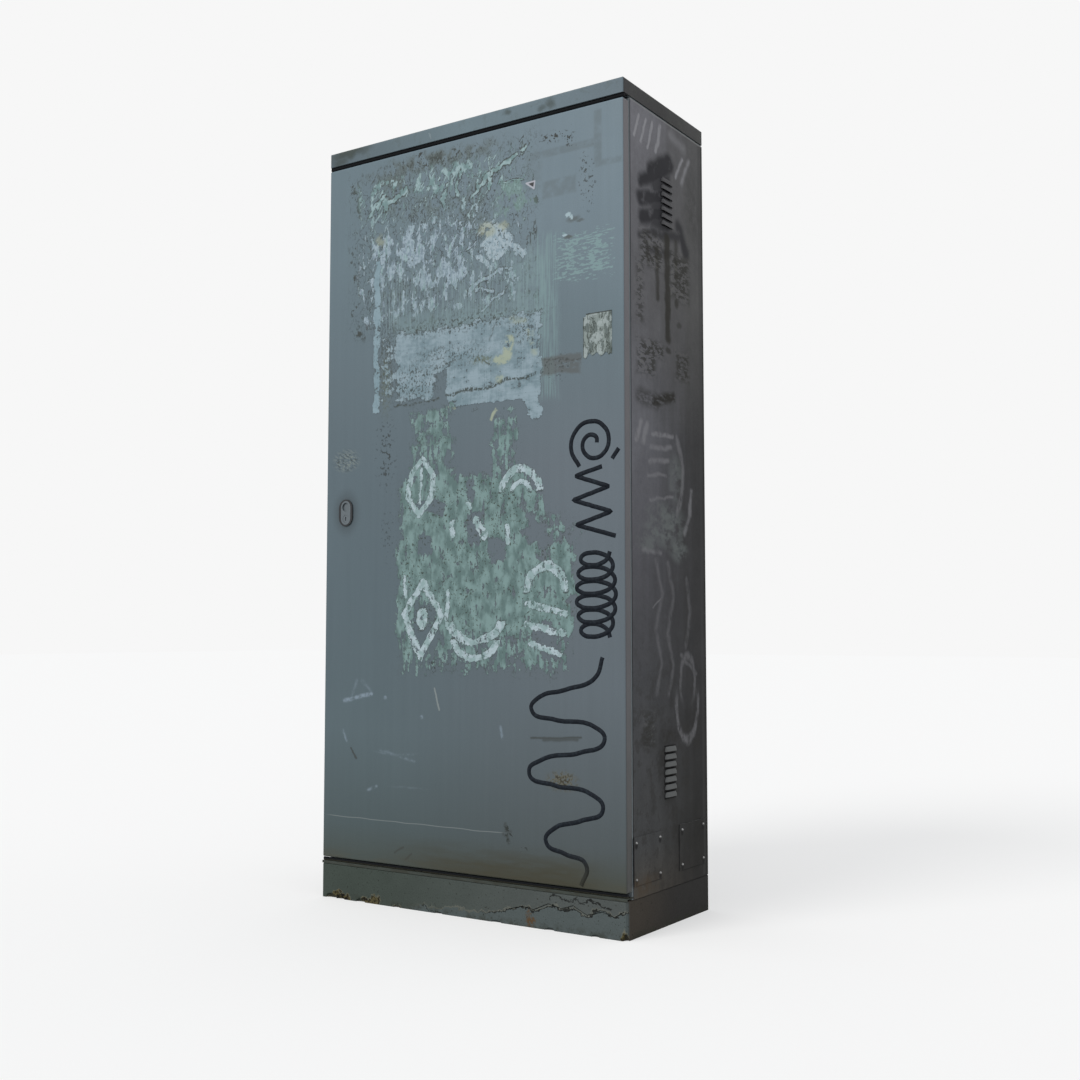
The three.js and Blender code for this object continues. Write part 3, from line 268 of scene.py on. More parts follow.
class Finish:
    def __init__(self, name, roughness=0.5, metallic=0.0, specular=0.4):
        self.material = bpy.data.materials.new(name)
        self.material.use_nodes = True
        self.nodes = self.material.node_tree.nodes
        self.links = self.material.node_tree.links
        self.shader = self.nodes["Principled BSDF"]
        self.shader.inputs["Roughness"].default_value = roughness
        self.shader.inputs["Metallic"].default_value = metallic
        self.shader.inputs["Specular IOR Level"].default_value = specular
        self.point = self.nodes.new("ShaderNodeTexCoord").outputs["Object"]
        split = self.node("ShaderNodeSeparateXYZ", Vector=self.point)
        self.x, self.y, self.z = [Field(self, socket) for socket in split.outputs]
        self.pairs = {}

    def feed(self, socket, value):
        if isinstance(value, Field):
            value = value.socket
        if isinstance(value, bpy.types.NodeSocket):
            self.links.new(value, socket)
        else:
            socket.default_value = value

    def node(self, kind, **inputs):
        made = self.nodes.new(kind)
        for name, value in inputs.items():
            self.feed(made.inputs[name], value)
        return made

    def calc(self, operation, *values):
        made = self.nodes.new("ShaderNodeMath")
        made.operation = operation
        for socket, value in zip(made.inputs, values):
            self.feed(socket, value)
        return Field(self, made.outputs[0])

    def vector(self, operation, *values, **named):
        made = self.nodes.new("ShaderNodeVectorMath")
        made.operation = operation
        for socket, value in zip(made.inputs, values):
            self.feed(socket, value)
        for label, value in named.items():
            self.feed(made.inputs[label], value)
        return made.outputs[1 if operation in ("DOT_PRODUCT", "DISTANCE", "LENGTH") else 0]

    def pair(self, across, up):
        """Two coordinates as one flat vector, made once for each pair."""
        key = tuple((s.socket.node.name, s.socket.identifier) for s in (across, up))
        if key not in self.pairs:
            self.pairs[key] = self.node("ShaderNodeCombineXYZ", X=across, Y=up).outputs[0]
        return self.pairs[key]

    def mapped(self, size, turn, seed):
        """The surface's points in steps of size, turned by degrees and shifted by a seed."""
        place = self.node("ShaderNodeMapping", Vector=self.point)
        place.vector_type = "TEXTURE"
        place.inputs["Location"].default_value = (seed * 1.7, seed * 0.9, seed * 2.3)
        place.inputs["Rotation"].default_value = [math.radians(t) for t in turn]
        place.inputs["Scale"].default_value = size if isinstance(size, tuple) else (size,) * 3
        return place.outputs[0]

    def noise(self, size, seed=1, detail=2.0, roughness=0.5, turn=(0.0, 0.0, 0.0)):
        """Soft clouds of the given size in metres, about 0.5 on average."""
        made = self.node("ShaderNodeTexNoise", Vector=self.mapped(size, turn, seed),
                         Scale=1.0, Detail=detail, Roughness=roughness)
        return Field(self, made.outputs[0])

    def mix(self, under, over, share):
        """The colour under, with a share of the colour over laid on it."""
        made = self.nodes.new("ShaderNodeMix")
        made.data_type = "RGBA"
        self.feed(made.inputs[0], share)
        self.feed(made.inputs[6], under)
        self.feed(made.inputs[7], over)
        return made.outputs[2]

    def shade(self, colour, amount):
        """The colour, made lighter or darker by an amount near 1."""
        plain = colour[:3] if isinstance(colour, tuple) else colour
        return self.vector("SCALE", plain, Scale=amount)

    def ramp(self, field, stops):
        """Colours along a field, from (value, colour) stops between 0 and 1."""
        made = self.node("ShaderNodeValToRGB", Fac=field)
        elements = made.color_ramp.elements
        while len(elements) < len(stops):
            elements.new(1.0)
        for element, (value, colour) in zip(elements, stops):
            element.position = value
            element.color = colour
        return made.outputs[0]

    def relief(self, height, depth):
        """Raises the surface where height is 1, by depth in metres."""
        made = self.node("ShaderNodeBump", Height=height, Distance=depth)
        self.links.new(made.outputs[0], self.shader.inputs["Normal"])

    def done(self, colour, roughness=None):
        self.feed(self.shader.inputs["Base Color"], colour)
        if roughness is not None:
            self.feed(self.shader.inputs["Roughness"], roughness)
        print(self.material.name, len(self.nodes), "nodes")
        return self.material


# %% [markdown]
# ## Shapes that marks are made of
#
# Wear has outlines: a torn sheet of paper is nearly a rectangle, a scuff is
# nearly an ellipse, a swipe of a brush is an arc. Each helper gives 1 inside its
# shape and 0 outside. Across and up are Fields, so a shape whose coordinates are
# shaken by noise gets a torn edge without any more work.


# %% Outlines of marks
def torn(f, across, up, coarse, fine, seed):
    """Coordinates shaken by noise, coarse and fine in metres."""
    wide = (f.noise(0.035, seed, 3.0) - 0.5) * (coarse * 4.0)
    tall = (f.noise(0.035, seed + 3, 3.0) - 0.5) * (coarse * 4.0)
    small = (f.noise(0.004, seed + 6, 2.0) - 0.5) * (fine * 4.0)
    return across + wide + small, up + tall + small


def patch(across, up, left, right, low, high, soft=0.002):
    """A rectangle with a soft edge."""
    beside = abs(across - (left + right) / 2) - (right - left) / 2
    above = abs(up - (low + high) / 2) - (high - low) / 2
    return beside.or_more(above).rises(soft, -soft)


def reach(across, up, middle, half):
    """Distance from the middle, where 1 is the outline of an ellipse."""
    f = across.finish
    share = (1 / half[0], 1 / half[1], 0.0)
    shift = (-middle[0] / half[0], -middle[1] / half[1], 0.0)
    return Field(f, f.vector("LENGTH", f.vector("MULTIPLY_ADD", f.pair(across, up), share, shift)))


def spot(across, up, middle, half, soft=0.3):
    """An ellipse with a soft edge; soft is a share of its size."""
    return reach(across, up, middle, half).rises(1 + soft, 1 - soft)


def ring(across, up, middle, half, width, soft=0.0015):
    """The line of an ellipse, width wide."""
    off = abs(reach(across, up, middle, half) - 1.0) * min(half)
    return off.rises(width / 2 + soft, width / 2 - soft)


def bar(across, up, start, end, width, soft=0.0015):
    """A straight stroke from start to end with round ends."""
    f = across.finish
    long = math.dist(start, end)
    step = ((end[0] - start[0]) / long, (end[1] - start[1]) / long, 0.0)
    over = f.vector("SUBTRACT", f.pair(across, up), (start[0], start[1], 0.0))
    along = Field(f, f.vector("DOT_PRODUCT", over, step)).or_more(0.0).or_less(long)
    off = Field(f, f.vector("DISTANCE", over, f.vector("SCALE", step, Scale=along)))
    return off.rises(width / 2 + soft, width / 2 - soft)


def any_of(*masks):
    """1 where any of the masks is 1."""
    total = masks[0]
    for mask in masks[1:]:
        total = total.or_more(mask)
    return total


def marks(shape, across, up, rows):
    """The strongest of several marks of one shape; a row is the shape's measures and a share."""
    made = []
    for *measures, share in rows:
        mark = shape(across, up, *measures)
        made.append(mark if share == 1 else mark * share)
    return any_of(*made)


def laid(f, colour, over, mask, rim=0.6):
    """Lays a coat where the mask is near 1, with the thin dark line that its torn edge casts."""
    line = mask.rises(0.08, 0.42) * mask.rises(0.92, 0.58)
    colour = f.mix(colour, paint(56, 63, 62), line * rim)
    return f.mix(colour, over, mask.rises(0.45, 0.85))

# %% [markdown]
# ## The door's grey paint
#
# The door is coated in a smooth blue-grey enamel. It is a little lighter towards
# the top right, where rain washes it, and darker towards the ground, where dust
# and splashes stay. Over that lie faint clouds, runs and the fine grain of dirt.


# %% Plain grey of the door
def door_grey(f):
    height = f.z / cabinet_top
    left = f.ramp(height, [(0.055, paint(64, 73, 70)), (0.10, paint(71, 84, 87)),
                           (0.22, paint(83, 98, 104)), (0.35, paint(83, 98, 105)),
                           (0.55, paint(88, 103, 111)), (0.68, paint(92, 107, 115)),
                           (0.85, paint(99, 117, 126))])
    right = f.ramp(height, [(0.055, paint(62, 66, 59)), (0.10, paint(73, 81, 84)),
                            (0.28, paint(91, 101, 108)), (0.55, paint(96, 106, 114)),
                            (0.70, paint(96, 112, 120)), (0.85, paint(107, 124, 134))])
    colour = f.mix(left, right, f.x.rises(-0.34, 0.36))
    # The door's right return is painted a dimmer neutral grey as shade: it faces away from the
    # light.
    return_shade = f.ramp(height, [(0.08, paint(66, 67, 66)), (0.30, paint(88, 88, 91)),
                             (0.90, paint(110, 108, 112))])
    colour = f.mix(colour, return_shade, f.x.rises(door_high[0] - 0.0014, door_high[0] - 0.0004))
    clouds = (f.noise(0.30, 2, 3.0) - 0.5) * 0.16
    runs = (f.noise((0.012, 0.05, 0.30), 3, 3.0) - 0.5) * 0.12
    grain = (f.noise(0.0022, 4, 1.0) - 0.5) * 0.22
    return f.shade(colour, clouds + runs + grain + 1.0)


# %% [markdown]
# ## Marks that posters left
#
# Frames and strips were once glued to the upper right of the door. They kept the
# weather off, so their outlines stay as bars a shade darker than the rest. Small
# black crumbs of old glue trail beside them.


# %% Traces and crumbs
def faded_traces(f, colour):
    bars = marks(patch, f.x, f.z, [
        (0.335, 0.354, 1.590, 1.702, 0.003, 1), (0.338, 0.402, 1.580, 1.593, 0.004, 1),
        (0.165, 0.336, 1.626, 1.643, 0.003, 1), (0.205, 0.290, 1.536, 1.574, 0.004, 1),
        (0.163, 0.205, 1.560, 1.650, 0.006, 0.5),
    ])
    worn = f.noise(0.02, 11, 3.0).rises(0.2, 0.6)
    return f.mix(colour, paint(84, 95, 98), bars * worn * 0.42)


def glue_crumbs(f, colour):
    places = marks(spot, f.x, f.z, [
        ((0.235, 1.668), (0.045, 0.012), 0.6, 1), ((0.277, 1.655), (0.014, 0.024), 0.6, 1),
        ((0.318, 1.56), (0.022, 0.065), 0.6, 0.8), ((-0.135, 1.703), (0.02, 0.007), 0.5, 1),
        ((-0.225, 1.02), (0.03, 0.09), 0.7, 0.8), ((-0.215, 0.84), (0.025, 0.07), 0.7, 0.6),
        ((0.119, 0.188), (0.012, 0.024), 0.5, 1), ((0.162, 0.157), (0.012, 0.011), 0.5, 0.7),
        ((-0.083, 0.535), (0.012, 0.02), 0.5, 0.8), ((0.235, 1.17), (0.05, 0.03), 0.6, 0.6),
    ])
    crumbs = f.noise(0.0075, 12, 2.5, 0.6) + places * 0.13 - 0.13
    return f.mix(colour, paint(36, 42, 40), crumbs.rises(0.54, 0.57) * places)


# %% [markdown]
# ## The scraped zone
#
# Above the middle of the door, layers of posters were scraped away with a blade.
# What stays is a field of pale flecks, mostly upright because the blade went up
# and down, some slanting, and dark greenish grime in the scratches between them.


# %% Scraped paint and paper
def scraped(f, colour):
    u, v = torn(f, f.x, f.z, 0.010, 0.002, 21)
    zone = patch(u, v, -0.325, 0.175, 1.315, 1.675, 0.045)
    crowd = marks(spot, u, v, [
        ((-0.265, 1.615), (0.060, 0.045), 0.6, 0.65), ((-0.050, 1.635), (0.090, 0.040), 0.6, 0.75),
        ((-0.235, 1.470), (0.026, 0.070), 0.5, 0.95), ((-0.150, 1.492), (0.045, 0.042), 0.4, 1.2),
        ((-0.055, 1.495), (0.060, 0.040), 0.5, 0.8), ((-0.200, 1.430), (0.040, 0.028), 0.5, 0.8),
        ((-0.110, 1.415), (0.035, 0.040), 0.5, 0.85), ((-0.035, 1.415), (0.045, 0.034), 0.5, 1.1),
        ((-0.130, 1.350), (0.120, 0.035), 0.6, 0.5), ((0.110, 1.390), (0.080, 0.022), 0.6, 0.6),
    ])
    ragged = f.noise((0.022, 0.02, 0.036), 23, 5.0, 0.62)
    upright = f.noise((0.0075, 0.02, 0.040), 24, 3.0, 0.6)
    slanted = f.noise((0.0075, 0.02, 0.036), 26, 3.0, 0.6, (0.0, 38.0, 0.0))
    grime = f.noise((0.007, 0.02, 0.010), 22, 4.0, 0.7)
    upper = marks(spot, u, v, [
        ((-0.090, 1.682), (0.17, 0.018), 0.5, 1), ((-0.210, 1.64), (0.045, 0.055), 0.5, 1),
        ((0.015, 1.545), (0.050, 0.060), 0.6, 0.7), ((-0.10, 1.575), (0.07, 0.030), 0.6, 0.7),
        ((-0.190, 1.395), (0.050, 0.025), 0.6, 0.6),
    ])
    colour = f.mix(colour, paint(78, 87, 84), upper * ragged.rises(0.42, 0.56) * 0.8)
    dirty = (upper + zone * 0.28) * grime.rises(0.545, 0.595)
    colour = f.mix(colour, paint(42, 48, 44), dirty * 0.95)
    crease = abs(f.noise((0.026, 0.02, 0.038), 25, 3.0, 0.6) - 0.5).rises(0.016, 0.005)
    colour = f.mix(colour, paint(44, 51, 50), crease * zone * grime.rises(0.38, 0.50) * 0.95)
    film = (zone * 0.5 + crowd * 0.6) * ragged.rises(0.40, 0.60)
    colour = f.mix(colour, paint(108, 129, 132), film * 0.50)
    low_part = v.rises(1.60, 1.52)
    peeled = (ragged + crowd * 0.11 + low_part * 0.035).rises(0.60, 0.64) * zone
    shift = ragged * 0.30 + crowd * 0.07 + zone * 0.03
    fine = (upright * 0.8 + shift).rises(0.675, 0.705) * zone
    fine = fine.or_more((slanted * 0.8 + shift - low_part * 0.03).rises(0.655, 0.685) * zone)
    blade = marks(bar, u, v, [
        ((0.015, 1.578), (0.060, 1.618), 0.009, 0.004, 1),
        ((0.060, 1.618), (0.165, 1.662), 0.010, 0.005, 1),
        ((-0.280, 1.588), (-0.235, 1.622), 0.009, 0.004, 1),
        ((-0.235, 1.596), (-0.172, 1.626), 0.011, 0.005, 1),
        ((-0.060, 1.578), (-0.056, 1.622), 0.010, 0.004, 1),
        ((-0.024, 1.582), (-0.016, 1.640), 0.009, 0.004, 1),
        ((0.062, 1.590), (0.067, 1.612), 0.011, 0.004, 1),
        ((0.085, 1.600), (0.155, 1.588), 0.006, 0.004, 1),
        ((0.000, 1.462), (0.045, 1.494), 0.005, 0.003, 1),
        ((0.012, 1.366), (0.050, 1.392), 0.010, 0.004, 1),
        ((0.050, 1.392), (0.122, 1.398), 0.010, 0.005, 1),
        ((0.030, 1.368), (0.078, 1.348), 0.009, 0.005, 1),
        ((0.046, 1.314), (0.115, 1.355), 0.006, 0.003, 1),
    ]) * ragged.rises(0.36, 0.46)
    teal = f.mix(paint(112, 138, 140), paint(148, 172, 176), f.noise(0.02, 27).rises(0.42, 0.6))
    pale = f.mix(paint(122, 139, 152), paint(154, 172, 183), grime.rises(0.40, 0.56))
    tint = f.mix(teal, pale, low_part * upright.rises(0.38, 0.48))
    flecks = any_of(peeled, fine, blade)
    colour = laid(f, colour, tint, flecks, 1.0)
    jig = f.noise(0.020, 28, 4.0, 0.65)
    bright = any_of(spot(u, v, (0.083, 1.462), (0.038, 0.042), 0.3),
                    spot(u, v, (0.070, 1.498), (0.026, 0.020), 0.4) * 0.8,
                    bar(u, v, (0.115, 1.468), (0.158, 1.428), 0.022, 0.006),
                    bar(u, v, (0.034, 1.432), (0.072, 1.412), 0.018, 0.006))
    white = (jig * 1.9 + bright).rises(1.60, 1.74)
    chalky = f.mix(paint(134, 154, 165), paint(160, 177, 186), grime.rises(0.42, 0.54))
    colour = laid(f, colour, chalky, white, 0.9)
    specks = f.noise((0.0055, 0.02, 0.008), 29, 2.0, 0.6)
    scattered = zone.or_more(crowd) * ragged.rises(0.44, 0.56)
    speckled = specks.rises(0.655, 0.68) * scattered
    speckled = speckled.or_more(specks.rises(0.610, 0.635) * white.rises(0.2, 0.8))
    colour = f.mix(colour, paint(46, 52, 50), speckled * 0.85)
    mossy = (ragged + spot(u, v, (0.130, 1.550), (0.045, 0.045), 0.5) * 0.12).rises(0.57, 0.65)
    mossy = mossy * patch(u, v, 0.08, 0.18, 1.49, 1.60, 0.01)
    colour = f.mix(colour, paint(112, 140, 135), mossy * 0.6)
    warm = marks(spot, u, v, [
        ((0.062, 1.496), (0.022, 0.014), 0.6, 1), ((0.105, 1.492), (0.012, 0.010), 0.6, 1),
        ((-0.248, 1.520), (0.012, 0.018), 0.6, 0.8),
    ])
    colour = f.mix(colour, paint(154, 160, 138), warm * jig.rises(0.40, 0.52) * 0.65)
    return colour, flecks.or_more(white)


# %% Chips and a pale scrape to the right of it
def loose_chips(f, colour):
    u, v = torn(f, f.x, f.z, 0.003, 0.0015, 131)
    combed = f.noise((0.018, 0.02, 0.005), 132, 3.0, 0.65)
    scrape = marks(patch, u, v, [
        (0.264, 0.286, 1.372, 1.436, 0.004, 1), (0.320, 0.356, 1.362, 1.430, 0.006, 0.9),
        (0.262, 0.366, 1.430, 1.440, 0.003, 0.9), (0.244, 0.362, 1.358, 1.368, 0.003, 0.8),
        (0.296, 0.345, 1.398, 1.410, 0.004, 0.7), (0.240, 0.375, 1.355, 1.442, 0.012, 0.45),
    ])
    kept = (combed + scrape * 0.14).rises(0.575, 0.635) * patch(f.x, f.z, 0.23, 0.385, 1.34, 1.455)
    colour = f.mix(colour, paint(122, 149, 151), kept * 0.85)
    shade = marks(spot, u, v, [
        ((0.283, 1.480), (0.014, 0.006), 0.6, 0.8), ((0.272, 1.442), (0.010, 0.004), 0.5, 1),
        ((0.300, 1.474), (0.010, 0.003), 0.5, 0.8),
    ])
    colour = f.mix(colour, paint(70, 74, 70), shade * 0.75)
    chip = marks(spot, u, v, [
        ((0.272, 1.491), (0.007, 0.004), 0.3, 1), ((0.262, 1.447), (0.007, 0.0025), 0.3, 1),
        ((0.279, 1.485), (0.0035, 0.005), 0.3, 1),
    ])
    colour = f.mix(colour, paint(160, 182, 190), chip * 0.9)
    corners = [(0.164, 1.579), (0.186, 1.580), (0.184, 1.564)]
    rim = any_of(*[bar(f.x, f.z, a, b, 0.0034, 0.0008)
                   for a, b in zip(corners, corners[1:] + corners[:1])])
    colour = f.mix(colour, paint(44, 46, 48), spot(f.x, f.z, (0.179, 1.575), (0.007, 0.006), 0.2))
    return f.mix(colour, paint(176, 178, 188), rim * 0.9)


# %% [markdown]
# ## Old glue and paper
#
# Below the scraped zone a sheet of paper was torn off whole. Its last skin and its
# glue are still there: a blue-grey rectangle with brushed upright streaks, a bare
# gap where a strip came away clean, a dark torn fold across it, a few yellow
# flakes, and a tongue that hangs lower at the right.


# %% Residue of the torn sheet
def residue(f, colour):
    u, v = torn(f, f.x, f.z, 0.006, 0.0015, 31)
    streaks = f.noise((0.0042, 0.02, 0.10), 32, 3.0, 0.6)
    thin = f.noise((0.036, 0.02, 0.024), 34, 5.0, 0.7)
    pits = f.noise((0.006, 0.02, 0.008), 35, 3.0, 0.7)
    film = patch(u, v, -0.245, 0.215, 1.285, 1.440, 0.035) * streaks.rises(0.46, 0.62)
    colour = f.mix(colour, paint(120, 141, 145), film * 0.62)
    haze = any_of(patch(u, v, -0.190, 0.215, 1.270, 1.330, 0.030),
                  patch(u, v, 0.120, 0.225, 1.230, 1.420, 0.030) * 0.8) * thin.rises(0.30, 0.56)
    colour = f.mix(colour, paint(124, 148, 152), haze * 0.55)
    side = patch(u, v, 0.188, 0.244, 1.105, 1.460, 0.014) * streaks.rises(0.43, 0.55)
    colour = f.mix(colour, paint(120, 147, 149), side * 0.52)
    gap = patch(u, v, -0.083, -0.054, 1.090, 1.192, 0.006)
    sheet = any_of(
        marks(patch, u, v, [
            (-0.205, 0.205, 1.128, 1.300, 0.022, 1), (-0.050, 0.205, 1.108, 1.20, 0.006, 1),
            (0.005, 0.070, 1.090, 1.120, 0.012, 0.6),
        ]),
        bar(u, v, (0.166, 1.125), (0.187, 1.080), 0.044, 0.010),
    ) * (1.0 - gap)
    left = patch(u, v, -0.245, -0.195, 1.140, 1.300, 0.014) * 0.72
    strip = patch(u, v, -0.267, -0.243, 1.115, 1.480, 0.007) * 0.95
    cover = any_of(sheet, left, strip)
    kept = (thin * 0.75 + streaks * 0.20 + cover * 0.46).rises(0.77, 0.88)
    wide = f.noise((0.10, 0.02, 0.07), 36, 3.0, 0.55)
    blue = f.mix(paint(112, 133, 142), paint(140, 159, 169),
                 (thin * 0.5 + streaks * 0.15 + wide * 0.35).rises(0.42, 0.58))
    brushed = f.noise((0.12, 0.02, 0.0045), 33, 3.0, 0.6)
    blue = f.shade(blue, (brushed - 0.5) * 0.26 + 1.0)
    blue = f.mix(blue, paint(130, 155, 166), strip * 0.6)
    colour = laid(f, colour, blue, kept * 0.95, 0.75)
    fold = marks(bar, u, v, [
        ((-0.050, 1.140), (0.080, 1.146), 0.006, 0.002, 1),
        ((0.080, 1.150), (0.190, 1.160), 0.007, 0.002, 1),
        ((-0.200, 1.124), (-0.072, 1.132), 0.004, 0.002, 1),
        ((-0.082, 1.204), (-0.030, 1.210), 0.004, 0.002, 1),
        ((0.028, 1.208), (0.070, 1.196), 0.005, 0.002, 1),
        ((0.066, 1.250), (0.082, 1.280), 0.003, 0.002, 0.7),
    ])
    worn = marks(spot, u, v, [
        ((-0.14, 1.175), (0.075, 0.040), 0.6, 1), ((-0.04, 1.225), (0.10, 0.025), 0.7, 0.8),
        ((-0.225, 1.23), (0.028, 0.10), 0.7, 1), ((-0.02, 1.295), (0.20, 0.018), 0.6, 1),
        ((0.150, 1.262), (0.035, 0.030), 0.6, 1),
    ])
    dark = (fold * pits.rises(0.40, 0.50)).or_more(worn * pits.rises(0.525, 0.575) * 0.9)
    dark = dark.or_more(cover * pits.rises(0.64, 0.68) * 0.8)
    colour = f.mix(colour, paint(52, 59, 54), dark * 0.9)
    flake = thin.rises(0.40, 0.50)
    yellow = any_of(
        marks(bar, u, v, [
            ((0.118, 1.240), (0.112, 1.205), 0.024, 0.004, 1),
            ((0.086, 1.201), (0.108, 1.199), 0.018, 0.003, 1),
            ((0.170, 1.262), (0.184, 1.205), 0.012, 0.006, 0.6),
            ((0.160, 1.278), (0.125, 1.285), 0.008, 0.005, 0.5),
            ((0.074, 1.070), (0.092, 1.100), 0.006, 1),
            ((-0.045, 1.112), (-0.030, 1.110), 0.007, 1),
        ]),
        spot(u, v, (0.092, 1.160), (0.010, 0.008), 0.5) * 0.7,
    )
    colour = f.mix(colour, paint(162, 171, 147), yellow * flake * 0.78)
    olive = any_of(spot(u, v, (0.050, 1.206), (0.026, 0.010), 0.5),
                   spot(u, v, (-0.228, 1.18), (0.014, 0.060), 0.8) * 0.6)
    colour = f.mix(colour, paint(98, 108, 92), olive * pits.rises(0.42, 0.56) * 0.7)
    stain = patch(u, v, 0.205, 0.300, 1.152, 1.190, 0.004)
    colour = f.mix(colour, paint(82, 85, 84), stain * thin.rises(0.34, 0.46) * 0.7)
    rim = bar(u, v, (0.208, 1.186), (0.298, 1.178), 0.003, 0.002) * pits.rises(0.40, 0.50)
    return f.mix(colour, paint(58, 60, 58), rim * 0.7), kept


# %% [markdown]
# ## The green patch
#
# Someone rolled pale green paint over the middle of the door and it has been
# flaking since. It hangs in ragged upright drips at its lower edge, with bare
# gaps and black pits. White brush marks lie on top of it: a leaf, a kite, arcs
# inside arcs and slanting bars, shapes without meaning.


# %% Green paint and white swipes
def green_patch(f, colour):
    u, v = torn(f, f.x, f.z, 0.012, 0.003, 41)
    streaks = f.noise((0.009, 0.02, 0.060), 42, 4.0, 0.65)
    flaking = f.noise((0.024, 0.02, 0.030), 43, 5.0, 0.72)
    cover = any_of(
        marks(patch, u, v, [
            (-0.185, 0.165, 0.770, 0.955, 0.022, 1), (-0.190, 0.285, 0.600, 0.800, 0.016, 1),
            (-0.180, 0.275, 0.520, 0.640, 0.030, 0.72),
            (-0.155, -0.030, 0.930, 1.115, 0.020, 0.78), (0.068, 0.145, 0.945, 1.085, 0.018, 0.72),
        ]),
        spot(u, v, (0.255, 0.805), (0.045, 0.045), 0.6) * 0.6,
        bar(u, v, (0.150, 0.925), (0.240, 0.815), 0.050, 0.020) * 0.75,
    )
    bare = marks(spot, u, v, [
        ((-0.100, 0.890), (0.042, 0.018), 0.3, 1), ((0.028, 0.835), (0.024, 0.036), 0.3, 1),
        ((0.085, 0.790), (0.022, 0.028), 0.3, 1), ((-0.110, 0.805), (0.026, 0.026), 0.4, 1),
        ((0.012, 0.915), (0.014, 0.020), 0.4, 1), ((-0.105, 0.625), (0.036, 0.060), 0.4, 0.8),
        ((0.215, 0.600), (0.026, 0.035), 0.4, 1), ((0.215, 0.790), (0.018, 0.040), 0.4, 0.8),
    ])
    kept = (streaks * 0.5 + flaking * 0.7 + cover * 0.30 - bare * 0.22).rises(0.765, 0.835)
    kept = kept * cover.rises(0.02, 0.25)
    tone = f.mix(paint(89, 112, 111), paint(121, 147, 146),
                 f.noise((0.020, 0.02, 0.035), 44, 3.0).rises(0.36, 0.64))
    colour = laid(f, colour, tone, kept * 0.95, 0.65)
    pits = f.noise((0.0055, 0.01, 0.007), 45, 3.0, 0.7).rises(0.585, 0.62)
    spread = f.noise(0.05, 46, 3.0).rises(0.40, 0.56)
    band = marks(spot, u, v, [
        ((0.0, 0.705), (0.14, 0.022), 0.6, 1), ((0.165, 0.885), (0.045, 0.025), 0.6, 1),
        ((0.115, 0.895), (0.030, 0.030), 0.6, 1), ((-0.170, 0.900), (0.035, 0.05), 0.7, 0.8),
    ])
    colour = f.mix(colour, paint(48, 56, 46), cover * pits * spread.or_more(band) * 0.9)
    return colour, kept


def white_swipes(f, colour):
    u, v = torn(f, f.x, f.z, 0.004, 0.0022, 51)
    upper = v.rises(0.940, 0.950)
    below = v.rises(0.640, 0.630)
    above = v.rises(0.690, 0.700)
    leaf = [(-0.118, 1.000), (-0.152, 0.965), (-0.158, 0.915), (-0.126, 0.872), (-0.090, 0.915),
            (-0.086, 0.960), (-0.118, 1.000)]
    kite = [(-0.115, 0.722), (-0.168, 0.650), (-0.120, 0.556), (-0.062, 0.648)]
    swipes = any_of(
        marks(bar, u, v, [
            ((-0.120, 0.975), (-0.124, 0.900), 0.009, 1),
            ((0.032, 0.852), (0.056, 0.818), 0.020, 1),
            ((-0.034, 0.850), (-0.030, 0.826), 0.015, 1),
            ((0.114, 0.838), (0.118, 0.806), 0.014, 1), ((0.008, 0.893), (0.016, 0.880), 0.010, 1),
            ((0.170, 0.668), (0.262, 0.650), 0.016, 1), ((0.166, 0.628), (0.258, 0.606), 0.016, 1),
            ((0.176, 0.588), (0.250, 0.566), 0.014, 1),
            ((-0.168, 0.735), (-0.160, 0.690), 0.010, 0.9),
            ((-0.044, 0.700), (-0.048, 0.640), 0.012, 0.9),
        ]),
        *[bar(u, v, a, b, 0.015) for a, b in zip(leaf, leaf[1:])],
        *[bar(u, v, a, b, 0.017) for a, b in zip(kite, kite[1:] + kite[:1])],
        ring(u, v, (0.150, 0.905), (0.050, 0.055), 0.017) * v.rises(0.905, 0.915),
        ring(u, v, (0.150, 0.905), (0.024, 0.026), 0.012) * v.rises(0.905, 0.915),
        ring(u, v, (0.030, 0.640), (0.070, 0.050), 0.017) * below,
        ring(u, v, (0.030, 0.605), (0.062, 0.050), 0.015) * v.rises(0.600, 0.590),
        ring(u, v, (0.215, 0.690), (0.050, 0.060), 0.018) * above,
        spot(u, v, (-0.116, 0.640), (0.016, 0.026), 0.2),
    )
    worn = f.noise((0.012, 0.02, 0.018), 52, 5.0, 0.75).rises(0.40, 0.47)
    white = swipes * worn
    tone = f.mix(paint(142, 166, 168), paint(172, 190, 197), f.noise(0.02, 53, 3.0).rises(0.4, 0.6))
    return laid(f, colour, tone, white, 0.85), white


# %% [markdown]
# ## Small scuffs lower down
#
# The lower door has only faint marks: curves and short strokes where things
# leaned on it, one long thin scratch, two brown scrapes, a wedge of soot, rust
# that pushed the paint up in crumbs, and brown dirt in the bottom corner.


